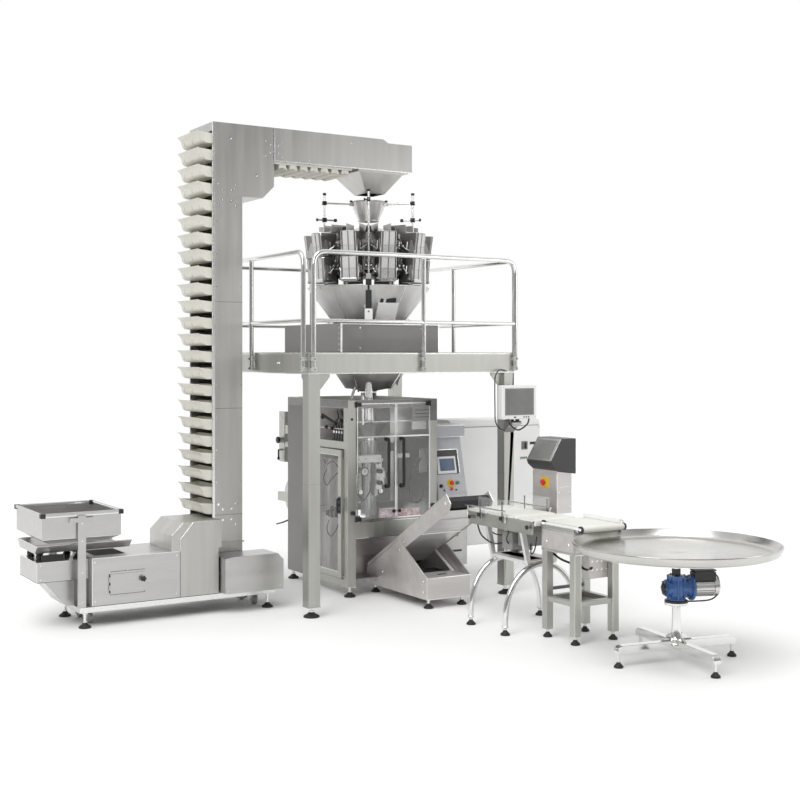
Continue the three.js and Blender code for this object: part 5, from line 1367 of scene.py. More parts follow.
def reel():
    """The film roll on its shaft, held by two chucks."""
    core, shaft, chucks = pieces(3)
    y, z = REEL
    core.ring((0, y, z), RIGHT, [(-300, 40), (-300, 162), (-297, 165), (277, 165), (280, 162), (280, 40)], 64)
    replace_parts(core.make("film_reel", ROLL, "film_roll"), "film_roll")
    shaft.rod((-369, y, z), (393, y, z), 20, sides=24)
    shaft.make("reel_shaft", TUBE, "film_roll")
    for x, way in ((-301, -1), (281, 1)):
        chucks.turned((x, y, z), (way, 0, 0), [(0, 58), (10, 58), (14, 44), (30, 44), (32, 30)], 32)
        for k in range(4):
            a = k * pi / 2 + 0.4
            chucks.rod((x + way * 12, y, z), (x + way * 12, y + 52 * cos(a), z + 52 * sin(a)), 5, sides=8)
    chucks.make("reel_chucks", BLUE, "film_roll")


def cover_sheets(g):
    """Header covers, the left side sheet and the plates inside the base."""
    b, y0 = BAGGER, BAGGER.front
    g.dark.box(b.left - 1.8, b.left - 0.2, y0 + 2, b.back - 2, 1574, 1637)
    g.dark.box(b.left + 77, 190, y0 - 1.6, y0 - 0.2, 1572, 1637)
    g.dark.box(196, b.right - 1, y0 - 1.9, y0 - 0.2, 1452, 1638)
    g.inner.box(b.inner_left, b.inner_right, -118, -108, 142, 482)
    g.inner.box(-348, 372, -126, -118, 300, 306)
    g.grey.box(b.left - 1.6, b.left - 0.2, 444, b.back - 2, 84, 1572)
    g.inner.box(-302, -298, -60, 430, 152, 1120)
    for k in range(6):
        g.inner.box(-304, -298, -40 + k * 75, -34 + k * 75, 160, 1110)
    g.dark.box(b.inner_left, b.inner_right, -350, -120, 144, 152)
    for z in (1480, 1510, 1540):
        g.black.box(230, 370, y0 - 2.4, y0 - 1, z, z + 8)


def panels_behind_doors(g):
    """Boxes and edges seen through the front doors."""
    b, y0 = BAGGER, BAGGER.front
    g.white.box(-276, -44, -246, -186, 1104, 1166)
    g.white.box(228, 376, -306, -300, 1376, 1446)
    g.white.box(120, 240, -250, -200, 1132, 1168)
    g.grey.box(296, 377, -312, -300, 1004, 1206)
    g.grey.box(-352, -250, -120, 180, 1240, 1276)
    g.bright.box(b.inner_left, b.inner_right, -312, -306, 1448, 1458)
    g.bright.box(-353, -349, -352, -346, 640, 1568)
    g.bright.box(373, 377, -352, -346, 640, 1450)
    g.bright.box(b.left - 1, b.left + 77, y0 - 1.4, y0, 80, 86)
    g.bright.box(b.left + 76, b.right - 76, y0 - 1.4, y0 + 3, 616, 622)
    g.bright.box(b.left + 76, b.right - 76, y0 - 1.4, y0 + 3, 483, 489)
    for x in (-262, -200, -120, -60):
        g.metal.bolt((x, -246, 1135), FRONT, 4, 3)


def dial_gauge(g):
    """A dial with its needle, stem and holder."""
    x, z = GAUGE
    g.black.ring((x, -250, z), FRONT, [(0, 0.5), (0, 37), (16, 38), (18, 35), (16, 31), (14, 31), (12, 0.5)],
                 32)
    g.white.turned((x, -263, z), FRONT, [(0, 31), (1.5, 31)], 32)
    g.black.box(x - 1.5, x + 1.5, -266.4, -264, z - 6, z + 24)
    g.black.turned((x, -264, z), FRONT, [(0, 5), (3, 5)], 16)
    g.metal.rod((x, -250, z), (x, -190, z), 7, sides=12)
    g.metal.box(x - 50, x + 50, -192, -184, z - 32, z + 33)
    g.metal.rod((x - 40, -188, z - 30), (x - 40, -188, 900), 8, sides=12)


def valves(g):
    """Valves and cylinders seen through the upper side window."""
    for k in range(5):
        y = -230 + k * 46
        g.black.box(-392, -330, y, y + 34, 1302, 1352)
        g.metal.box(-386, -336, y + 4, y + 30, 1352, 1372)
        g.hoses.tube(curve([(-372, y + 17, 1370), (-380, y + 30, 1430), (-360, y - 16, 1480),
                            (-340, y + 40, 1540)], 6), 4.5, 8)
    g.black.prism("yz", [(-250, 1400), (-160, 1500), (-140, 1560), (-180, 1560), (-262, 1430)], -404, -396)
    g.black.rod((-398, -90, 1430), (-398, 160, 1500), 14, sides=16)
    g.metal.rod((-398, -60, 1440), (-398, 210, 1514), 6, sides=12)
    for y, z in ((-200, 1460), (-40, 1392), (60, 1400), (130, 1480)):
        g.black.turned((-404, y, z), LEFT, [(0, 18), (8, 18), (10, 13), (20, 12)], 20)
    g.white.box(-396, -388, -250, 220, 1388, 1396)


def film_guides(g):
    """Rollers that carry the film over to the collar."""
    for y, z in ((700, 1560), (520, 1500), (330, 1470)):
        g.metal.rod((BAGGER.inner_left, y, z), (BAGGER.inner_right, y, z), 17, sides=24)
        for x in (BAGGER.inner_left - 4, BAGGER.inner_right - 4):
            g.black.box(x, x + 8, y - 26, y + 26, z - 26, z + 26)


def jaw_guides(g):
    """Guide rods of the jaws and their drive cylinder."""
    for x in (-260, 220):
        g.metal.rod((x + 20, -150, JAW_LEVEL), (x + 20, 236, JAW_LEVEL), 14, sides=20)
        g.black.box(x - 6, x + 46, -160, -128, 508, 562)
        g.black.box(x - 6, x + 46, 206, 250, 508, 562)
    g.metal.rod((-20, 150, JAW_LEVEL), (-20, 246, JAW_LEVEL), 24, sides=24)
    g.black.box(-70, 30, 246, 330, 490, 585)


def air_unit(g):
    """Air filter and regulator inside the left side."""
    for y in (-60, 10):
        g.glass.turned((-380, y, 560), UP, [(0, 14), (8, 22), (70, 24), (74, 20)], 24)
        g.black.box(-408, -352, y - 26, y + 26, 634, 690)
        g.black.turned((-380, y, 690), UP, [(0, 20), (26, 20), (30, 14)], 20)
    g.black.turned((-406, 45, 662), LEFT, [(0, 22), (10, 22), (12, 18)], 24)


def inner_hoses(g):
    """Hoses inside the left side, and the loop at the right of the front doors."""
    g.hoses.tube(curve([(-400, -120, 1020), (-412, -40, 960), (-410, 60, 900), (-404, 120, 960),
                        (-396, 80, 1040)], 8), 5, 8)
    g.hoses.tube(curve([(-404, -180, 640), (-412, -120, 540), (-410, -20, 470), (-404, 60, 520),
                        (-396, 40, 600)], 8), 5, 8)
    g.hoses.tube(curve([(-398, 130, 1120), (-408, 60, 1080), (-402, -40, 1110), (-396, -140, 1060)], 8), 5, 8)
    g.hoses.tube(curve([(326, -296, 1130), (300, -318, 1110), (232, -322, 1040), (196, -322, 930),
                        (196, -322, 830), (226, -322, 760), (290, -320, 752), (334, -316, 812),
                        (352, -306, 860)], 8), 8, 12)
    g.hoses.tube(curve([(-340, -290, 900), (-300, -300, 840), (-240, -296, 800), (-180, -280, 860),
                        (-150, -240, 940)], 8), 5, 8)


def post_knobs(g):
    """Knobs on the front posts."""
    y0 = BAGGER.front
    for x, z in ((-386, 700), (408, 720)):
        g.black.turned((x, y0 - 1, z), FRONT, [(0, 8), (3, 8), (4, 17), (12, 19), (20, 17), (23, 8)], 20)
    g.black.bolt((-392, y0 - 1, 1480), FRONT, 8, 7)


def brake_controls(g):
    """Hand wheel and handles of the film brake at the back."""
    b = BAGGER
    g.black.turned((b.left - 6, 925, 1240), LEFT, [(0, 24), (4, 30), (18, 31), (24, 26), (26, 8)], 24)
    g.black.tube(bend([(b.left + 12, 925, 1150), (b.left - 14, 925, 1150), (b.left - 14, 925, 1080)], 8, 5),
                 7, 12)
    g.black.turned((b.left - 14, 925, 1086), DOWN, [(0, 7), (4, 11), (24, 12), (28, 7)], 16)
    g.black.tube(bend([(b.left + 4, 770, 520), (b.left - 30, 800, 500), (b.left - 30, 930, 470)], 20, 5), 7,
                 12)
    g.metal.bolt((b.left + 20, 925, 1440), LEFT, 8, 6)


def bagger_fittings():
    kinds = ("dark", "white", "grey", "metal", "black", "glass", "bright", "hoses", "inner")
    g = Sizes(**{kind: Piece() for kind in kinds})
    for add in (cover_sheets, panels_behind_doors, dial_gauge, valves, film_guides, jaw_guides, air_unit,
                inner_hoses, post_knobs, brake_controls):
        add(g)
    pink = Piece()
    pink.box(-104, 286, -342, -306, 634, 704)
    pink.make("film_pack_strip", PINK, bevel=3)
    shelf = Piece()
    shelf.box(BAGGER.inner_left, BAGGER.inner_right, -340, -180, 622, 632)
    shelf.make("front_shelf", STEEL, bevel=1)
    g.inner.box(-350, 376, 303, 305, 700, 1565)
    g.inner.make("bagger_inner_plate", STEEL_WARM)
    g.dark.make("bagger_dark_covers", STEEL_DARK, bevel=0.8)
    g.white.make("bagger_white_boxes", WHITE, bevel=2)
    g.grey.make("bagger_grey_panels", GREY, bevel=1)
    g.metal.make("bagger_metal_fittings", TUBE)
    g.black.make("bagger_black_fittings", BLACK, bevel=1)
    g.glass.make("air_filter_bowls", GLAZING)
    g.bright.make("bagger_bright_edges", HIGHLIGHT_STEEL)
    g.hoses.make("bagger_hoses", HOSE)


def product_funnel():
    """The bowl over the forming tube, and its stays."""
    skin, lugs = Piece().on_axis(), Piece().on_axis()
    profile = [(1700, 66), (1700, 72), (1708, 73), (1730, 205), (1900, 318), (2258, 318), (2262, 322),
               (2262, 312), (1904, 312), (1735, 200), (1712, 67)]
    skin.ring(ORIGIN, UP, profile, 56)
    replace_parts(skin.make("product_funnel_skin", STEEL_DARK), "product_funnel")
    for k in range(4):
        a = k * pi / 2 + 0.6
        lugs.rod((207 * cos(a), 207 * sin(a), 1722), (321 * cos(a), 321 * sin(a), 1893), 5, sides=10)
    lugs.ring(ORIGIN, UP, [(1786, 72), (1786, 82), (1800, 82), (1800, 74)], 40)
    lugs.rod((-106, -184, 1640), (-106, -184, 1868), 30, sides=28)
    lugs.rod((-210, -60, 1640), (-150, -120, 1868), 12, sides=16)
    lugs.make("product_funnel_stays", TUBE)


front_door("front_door_left", -350, 30, -66, -352)
front_door("front_door_right", 34, 374, 82, 376)
side_door()
forming_set()
pull_belts()
sealing_details()
reel()
bagger_fittings()
product_funnel()


# ---------------------------------------------------------------- control console
CONSOLE = Sizes(left=462, right=758, front=-372, back=-105, bottom=182, top=1406)
FACE_FOOT, FACE_HEAD = (-364, 830), (-260, 1294)


def on_face(along, lift):
    """A point of the console's sloping face, as y and z."""
    run = Vector((FACE_HEAD[0] - FACE_FOOT[0], FACE_HEAD[1] - FACE_FOOT[1])).normalized()
    return FACE_FOOT[0] + run.x * along - run.y * lift, FACE_FOOT[1] + run.y * along + run.x * lift


def slab(piece, x0, x1, a0, a1, low, high):
    piece.prism("yz", [on_face(a0, low), on_face(a1, low), on_face(a1, high), on_face(a0, high)], x0, x1)


def face_turned(piece, x, along, profile, sides=28):
    foot, tip = on_face(along, 0), on_face(along, 1)
    piece.turned((x, *foot), (0, tip[0] - foot[0], tip[1] - foot[1]), profile, sides)


def console_details():
    """Touch panel, buttons, door and vents of the control console."""
    c = CONSOLE
    frame_bars, recess, screen, black, silver, yellow, seams = pieces(7)
    slab(recess, 470, 708, 150, 366, -0.5, 0.8)
    recess.make("console_recess", CHARCOAL)
    slab(seams, 470, 708, 363, 368, 0.5, 3)
    slab(seams, 705, 710, 150, 368, 0.5, 3)
    slab(frame_bars, 474, 668, 154, 304, 0.5, 20)
    slab(frame_bars, 482, 660, 162, 296, 19, 24)
    frame_bars.make("touch_panel_frame", WHITE, bevel=3)
    slab(screen, 494, 648, 176, 284, 23.5, 24.8)
    screen.make("touch_panel_screen", SCREEN_BLUE, bevel=0.5)
    face_turned(silver, 493, 48, [(0, 22), (3, 22), (5, 18)])
    face_turned(black, 493, 48, [(4, 17), (10, 17), (12, 12), (22, 11)])
    slab(black, 489, 497, 36, 60, 12, 27)
    face_turned(yellow, 600, 70, [(0, 36), (3, 36), (4, 33)], 36)
    yellow.make("console_stop_plate", YELLOW)
    face_turned(silver, 670, 70, [(0, 20), (3, 20), (6, 17)])
    face_turned(silver, 600, 18, [(0, 17), (3, 17), (6, 14)])
    for x in (524, 648):
        face_turned(silver, x, 8, [(0, 11), (2, 11), (3, 8)], 20)
        face_turned(black, x, 8, [(2, 8), (9, 8), (11, 5)], 20)
    for x in (476, 744):
        for along in (12, 440):
            face_turned(silver, x, along, [(0, 5), (2, 5), (3, 3)], 12)
    # Lower door of the console with its screws, and vents at the side.
    silver.box(c.left + 12, c.right - 12, c.front - 2.2, c.front - 0.2, 232, 796)
    for x in (c.left + 24, c.right - 24):
        for z in (250, 420, 610, 780):
            silver.bolt((x, c.front - 2.2, z), FRONT, 4.5, 3.5)
    for x, z in ((540, 440), (650, 446)):
        black.turned((x, c.front - 2, z), FRONT, [(0, 12), (3, 12), (5, 8)], 20)
    black.box(560, 700, c.front - 3.6, c.front - 2, 300, 318)
    for k in range(9):
        z = 400 + k * 26
        black.box(c.right - 0.6, c.right + 0.6, -300, -180, z, z + 8)
        black.box(c.left - 0.6, c.left + 0.6, -300, -180, z + 300, z + 308)
    seams.box(c.left - 0.6, c.right + 0.6, c.front + 39, c.front + 42, c.top - 106, c.top - 102)
    seams.box(c.left - 1, c.right + 1, c.front + 38.4, c.front + 42, c.top - 9, c.top - 1)
    seams.make("console_edges", HIGHLIGHT_STEEL, bevel=0.6)
    silver.make("console_silver_parts", STEEL, bevel=0.6)
    black.make("console_black_parts", BLACK, bevel=0.6)
    buttons = [
        ("console_estop", 600, 70, RED, [(1, 12), (10, 12), (18, 13), (22, 19), (27, 21), (31, 18), (33, 8)]),
        ("console_start", 670, 70, GREEN, [(1, 9), (8, 9), (9, 14.5), (17, 15), (19, 12), (19.2, 3)]),
        ("console_stop", 600, 18, RED, [(1, 8), (8, 8), (9, 12.5), (17, 13), (19, 10), (19.2, 3)]),
    ]
    for name, x, along, material, profile in buttons:
        cap = Piece()
        face_turned(cap, x, along, [(-17, profile[0][1] * 0.9)] + profile, 36)
        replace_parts(cap.make(name + "_cap", material, name), name)


CABINET = Sizes(left=775, right=1780, front=-90, back=330, bottom=290, top=1430)


def cabinet_details():
    """Door gap, main switch, lamps, screws and vents of the electrical cabinet."""
    c = CABINET
    door = c.front - 20.5
    gaps, grey, black, green, metal, legs = pieces(6)
    x0, x1, z0, z1 = c.left + 12, c.right - 12, c.bottom + 14, c.top - 70
    for a, b, low, high in ((x0 - 3, x0, z0, z1), (x1, x1 + 3, z0, z1), (x0 - 3, x1 + 3, z0 - 3, z0),
                            (x0 - 3, x1 + 3, z1, z1 + 3)):
        gaps.box(a, b, c.front - 1.2, c.front + 1, low, high)
    gaps.make("cabinet_door_gap", SHADE_AND_JOINT_BLACK)
    lip = Piece()
    lip.box(c.left - 0.8, c.right - 0.1, c.front - 9, c.front + 2, c.top - 62, c.top - 56)
    lip.make("cabinet_rain_lip", WHITE, bevel=1.5)
    body = "cabinet_door"
    grey.box(1552, 1622, door - 6, door, 1140, 1216)
    grey.turned((1587, door - 6, 1178), FRONT, [(0, 28), (4, 28), (7, 22)], 32)
    grey.make("main_switch_plate", GREY, body, bevel=2)
    black.box(1650, 1722, door - 3, door, 1184, 1208)
    black.box(1581, 1593, door - 30, door - 10, 1150, 1206)
    black.make("main_switch_handle", BLACK, body, bevel=2)
    for k in range(4):
        green.turned((1548 + k * 20, door, 1062), FRONT, [(0, 9), (3, 9), (7, 6), (8, 2)], 20)
    green.make("cabinet_lamps", GREEN, body)
    metal.box(1535, 1622, door - 1.6, door, 1048, 1076)
    for z in (780, 880):
        metal.bolt((c.left + 72, door - 15, z), FRONT, 5, 3)
    for x in (x0 + 10, x1 - 10):
        for z in (z0 + 14, z1 - 14):
            metal.bolt((x, door, z), FRONT, 5, 3)
    metal.make("cabinet_door_fittings", PLATE, body)
    for x in (c.left + 60, c.right - 60):
        legs.turned((x, 120, c.bottom), DOWN, [(0, 30), (6, 30), (7, 20), (9, 20)], 24)
        for y in (-30, 260):
            legs.turned((x, y, c.bottom + 0.5), DOWN, [(0, 18), (8, 18), (9, 10)], 20)
    for k in range(8):
        z = 420 + k * 34
        legs.box(c.right - 0.8, c.right, 40, 220, z, z + 10)
    legs.make("cabinet_glands_and_vents", CHARCOAL)


console_details()
cabinet_details()


# ---------------------------------------------------------------- take-off conveyor
TAKEOFF = Sizes(left=-130, right=270, rear=-150, front=-1110, top=930, tip=-1440)


def takeoff_details():
    """Cleats, edges, bolts and pan of the inclined conveyor."""
    t = TAKEOFF
    edges, cleats, bolts, strut, dark = pieces(5)
    slope = Vector((0, t.tip + 62 - t.rear + 50, t.top - 16 - 215)).normalized()
    lift = Vector((0, -slope.z, slope.y))
    lift = lift if lift.z > 0 else -lift
    start = Vector((0, t.rear - 50, 215))
    for k in range(12):
        p = start + slope * (60 + k * 108)
        low, high = p - slope * 3, p + slope * 3
        cleats.prism("yz", [(low.y, low.z - 2), (high.y, high.z - 2),
                            ((high + lift * 24).y, (high + lift * 24).z),
                            ((low + lift * 24).y, (low + lift * 24).z)], t.left + 24, t.right - 24)
    cleats.make("takeoff_cleats", DARK_BELT, bevel=0.6)
    for x in (t.left - 1, t.right + 1):
        edges.tube([(x, t.rear - 10, 236), (x, t.tip + 60, t.top + 11), (x, t.tip + 1, t.top - 59)], 3.4, 8)
        skirt = [(t.rear - 10, 201), (-680, 501), (-820, 421), (-1080, 265), (t.front + 1, 251),
                 (t.front - 1, 74)]
        side = x + (-6 if x < 0 else 8)
        edges.tube([(side, y, z) for y, z in skirt], 3, 8)
        for y, z in ((-1060, 130), (-1060, 215), (-300, 110), (-700, 420), (-420, 200)):
            bolts.bolt((side + (-1 if x < 0 else 1), y, z), (-1 if x < 0 else 1, 0, 0), 6, 4)
        for y, z in ((t.tip + 60, t.top - 60), (-760, 500)):
            bolts.turned((x, y, z), (-1 if x < 0 else 1, 0, 0), [(0, 24), (4, 24), (6, 16), (12, 14)], 24)
    edges.box(t.left - 7, t.right + 11, t.front - 1.5, t.front + 2, 72, 78)
    edges.tube([(t.left - 6, t.front, 241), (t.right + 10, t.front, 241)], 3.2, 8)
    edges.make("takeoff_edges", HIGHLIGHT_STEEL)
    bolts.make("takeoff_bolts", TUBE)
    # White bar across the open side, and painted shade inside the base.
    strut.prism("yz", [(-641, 385), (-905, 250), (-905, 232), (-641, 367)], t.right - 26, t.right - 6)
    strut.make("takeoff_strut", WHITE, bevel=2)
    # Pan under the belt, and the cover of the base.
    pan = Piece()
    pan.prism("yz", [(-1405, 813), (-700, 426), (-420, 268), (-420, 264), (-700, 422), (-1405, 809)],
              t.left + 4.5, t.right - 4.5)
    pan.box(t.left + 3, t.right - 3, -1106, -870, 240, 246)
    for y in (-1250, -1000):
        pan.box(t.left + 5, t.right - 5, y - 9, y + 9, 813 + (y + 1405) * -0.549 - 12,
                813 + (y + 1405) * -0.549 - 2)
    pan.make("takeoff_pan", PAN, bevel=1)
    # Painted shade: a dark strip under the cover and a dark sheet in the open base.
    dark.box(t.left + 170, t.right - 150, -1010, -985, 245, 248)
    dark.box(t.left + 6, t.right - 30, -868, -640, 90, 236)
    dark.make("takeoff_painted_shade", SHADE_AND_JOINT_BLACK)


# ---------------------------------------------------------------- checkweigher
CHECK = Sizes(left=0, right=400, rear=-1490, front=-2290, top=835)
CHECK_STOP = (537, -1747, 1030)


def checkweigher_frame():
    """Rails on two bow legs, and the cradle between them."""
    c = CHECK
    z = c.top
    rails, legs, cradle = pieces(3)
    for x in (c.left, c.right - 12):
        rails.box(x, x + 12, c.front, c.rear, z - 110, z - 20)
        rails.box(x - 4, x + 16, c.front, c.rear, z - 26, z - 19)
        rails.box(x - 3, x + 15, c.front, c.rear, z - 112, z - 106)
    for y in (-1560, -1890, -2230):
        rails.box(c.left + 5, c.right - 5, y - 15, y + 15, z - 105, z - 60)
    rails.box(c.right - 14, c.right + 150, -1890, -1600, z - 100, z - 40.5)
    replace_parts(rails.make("checkweigher_rails", BEAM_STEEL, bevel=1.5), "checkweigher_frame")
    for y in BOW.places:
        points = []
        for i in range(49):
            a = pi * i / 48
            points.append((BOW.middle - BOW.half * cos(a), y, BOW.foot + BOW.rise * sin(a) ** 0.8))
        legs.tube(points, 21, 20)
        for x in (BOW.middle - BOW.half, BOW.middle + BOW.half):
            legs.turned((x, y, BOW.foot), UP, [(0, 22), (4, 25), (12, 25), (16, 22)], 20)
    legs.make("checkweigher_bow_legs", TUBE)
    for y in (-1700, -2130):
        for side in (-1, 1):
            centre = (c.left + c.right) / 2
            top, foot = centre + side * 190, centre + side * 130
            cradle.prism("xz", [(top, z - 104), (top - side * 44, z - 104), (foot - side * 34, 478),
                                (foot, 478)], y - 14, y + 14)
        cradle.box(70, 330, y - 13.6, y + 13.6, 478, 514)
    cradle.box(130, 240, -2160, -1680, 470, 512)
    cradle.prism("xz", [(60, 512), (340, 512), (330, 486), (70, 486)], -2150, -1690)
    cradle.make("checkweigher_cradle", PAN, bevel=1.5)


def checkweigher_electronics():
    """Boxes and cables under the bed."""
    board, dark = pieces(2)
    for x0, x1, y0, y1, z0, z1 in ((90, 200, -1930, -1800, 560, 690), (210, 320, -1880, -1740, 540, 640),
                                   (120, 300, -2060, -1960, 600, 700)):
        board.box(x0, x1, y0, y1, z0, z1)
    for k in range(4):
        board.bolt((100 + k * 30, -1930, 680), FRONT, 5, 4)
    board.turned((250, -1760, 520), UP, [(0, 38), (60, 38), (64, 30), (90, 28)], 28)
    board.make("checkweigher_electronics", MOTOR, bevel=1.5)
    dark.tube(curve([(30, -1560, 726), (20, -1640, 640), (60, -1740, 590), (140, -1800, 600),
                     (200, -1840, 560)], 8), 6, 10)
    dark.tube(curve([(60, -1600, 726), (90, -1700, 660), (150, -1780, 640), (120, -1860, 590),
                     (60, -1900, 640), (40, -1960, 724)], 8), 5, 10)
    dark.tube(curve([(300, -1760, 600), (360, -1740, 560), (420, -1720, 620), (470, -1700, 700),
                     (520, -1690, 740)], 8), 6, 10)
    dark.tube(curve([(180, -2040, 640), (120, -2120, 560), (90, -2200, 600), (80, -2240, 700)], 8), 5, 10)
    dark.make("checkweigher_cables", HOSE)


def checkweigher_guards():
    """Clear guards on posts at both sides of the belt, and their knobs."""
    c, z = CHECK, CHECK.top
    knobs, clear = pieces(2)
    for x in (c.left - 14, c.right + 8):
        clear.box(x, x + 5, -1960, -1640, z + 10, z + 106)
        for y in (-1940, -1660):
            knobs.turned((x + 2, y, z - 30), (-1 if x < 100 else 1, 0, 0), [(0, 8), (8, 8), (9, 15), (20, 16),
                                                                            (24, 8)], 16)
            knobs.rod((x + 2, y, z - 60), (x + 2, y, z + 90), 4.5, sides=10)
    clear.box(c.left - 14, c.right + 13, -1964, -1959, z + 24, z + 106)
    clear.make("checkweigher_guards", GLAZING)
    for x, y in ((c.left - 8, -1530), (c.left - 8, -2250), (c.right + 8, -1540), (c.right + 8, -2250)):
        knobs.turned((x, y, z - 60), (-1 if x < 100 else 1, 0, 0), [(0, 7), (6, 7), (7, 15), (18, 16),
                                                                    (22, 8)], 16)
    knobs.make("checkweigher_knobs", BLACK)


def belt_loop(piece, x0, x1, y0, y1, top, radius):
    """A belt round two end rollers."""
    outline = []
    for k in range(15):
        a = pi / 2 + pi * k / 14
        outline.append((y0 + radius + radius * cos(a), top - radius + radius * sin(a)))
    for k in range(15):
        a = -pi / 2 + pi * k / 14
        outline.append((y1 - radius + radius * cos(a), top - radius + radius * sin(a)))
    piece.prism("yz", outline, x0, x1)


def checkweigher_top():
    """Three belts with their rollers, side strips and guide rods."""
    c = CHECK
    belts, rollers, side, lines = pieces(4)
    for y0, y1 in ((c.front - 20, -2086), (-2080, -1706), (-1700, c.rear + 40)):
        belt_loop(belts, c.left + 17, c.right - 17, y0, y1, c.top, 25)
        for y in (y0 + 25, y1 - 25):
            rollers.rod((c.left + 12, y, c.top - 25), (c.right - 12, y, c.top - 25), 11, sides=20)
    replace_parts(belts.make("checkweigher_belts", WHITE_BELT), "checkweigher_belt")
    rollers.make("checkweigher_rollers", TUBE)
    for x in (c.left + 12, c.right - 16):
        side.box(x, x + 4, c.front - 8, c.rear + 28, c.top - 40, c.top - 8)
    side.make("checkweigher_belt_sides", WHITE, bevel=1)
    for x in (c.left - 14, c.right + 6):
        lines.tube([(x, c.rear + 30, c.top + 26), (x, -1990, c.top + 26)], 6, 10)
        for y in (-1500, -1980):
            lines.rod((x, y, c.top - 60), (x, y, c.top + 28), 5, sides=10)
    lines.make("checkweigher_guide_rods", TUBE)


def checkweigher_head():
    """Screen head on its column, and the stop button."""
    shell, bezel, screen, column, edges, plate = pieces(6)
    y0, y1 = -1906, -1594
    outline = [(478, 1198), (490, 1165), (545, 1120), (720, 1098), (720, 1372), (587, 1372)]
    shell.prism("xz", outline, y0, y1)
    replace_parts(shell.make("checkweigher_head_shell", CHARCOAL, bevel=5), "checkweigher_head")
    run = Vector((109, 0, 174)).normalized()
    out = Vector((-run.z, 0, run.x))
    foot = Vector((478, 0, 1198))

    def sheet(piece, low, high, inset, l0, l1):
        points = [foot + run * low + out * l0, foot + run * high + out * l0, foot + run * high + out * l1,
                  foot + run * low + out * l1]
        piece.prism("xz", [(p.x, p.z) for p in points], y0 + inset, y1 - inset)
    sheet(bezel, 6, 200, 10, -1, 4)
    bezel.make("checkweigher_bezel", HIGHLIGHT_STEEL, bevel=2)
    sheet(screen, 26, 182, 40, 3.5, 5)
    screen.make("checkweigher_screen", SCREEN_GREY, bevel=0.5)
    column.box(537, 680, -1900, -1600, 795.5, 1138)
    column.make("checkweigher_column", STEEL_WARM, bevel=4)
    edges.box(535.6, 541, -1901.4, -1896, 796, 1104)
    edges.box(535.6, 541, -1604, -1598.6, 796, 1104)
    edges.box(676, 681.4, -1901.4, -1896, 796, 1104)
    edges.box(560, 676, -1902, -1900, 1000, 1003)
    edges.box(534, 682, -1903, -1598, 796, 800)
    for z in (850, 960):
        edges.bolt((556, -1900, z), FRONT, 4, 3)
        edges.bolt((662, -1900, z), FRONT, 4, 3)
    edges.make("checkweigher_column_trims", HIGHLIGHT_STEEL)
    x, y, z = CHECK_STOP
    plate.box(x - 3, x - 0.2, y - 58, y + 44, z - 40, z + 42)
    plate.make("checkweigher_stop_plate", YELLOW, bevel=1)
    cap = Piece()
    cap.turned((x, y, z), LEFT, [(-20, 12), (2, 12), (10, 13), (14, 20), (20, 24), (26, 22), (28.5, 10)], 36)
    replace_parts(cap.make("checkweigher_stop_cap", RED, "checkweigher_estop"), "checkweigher_estop")


# ---------------------------------------------------------------- transfer conveyor
TRANSFER = Sizes(left=60, right=460, rear=-2326, front=-2690, top=808)


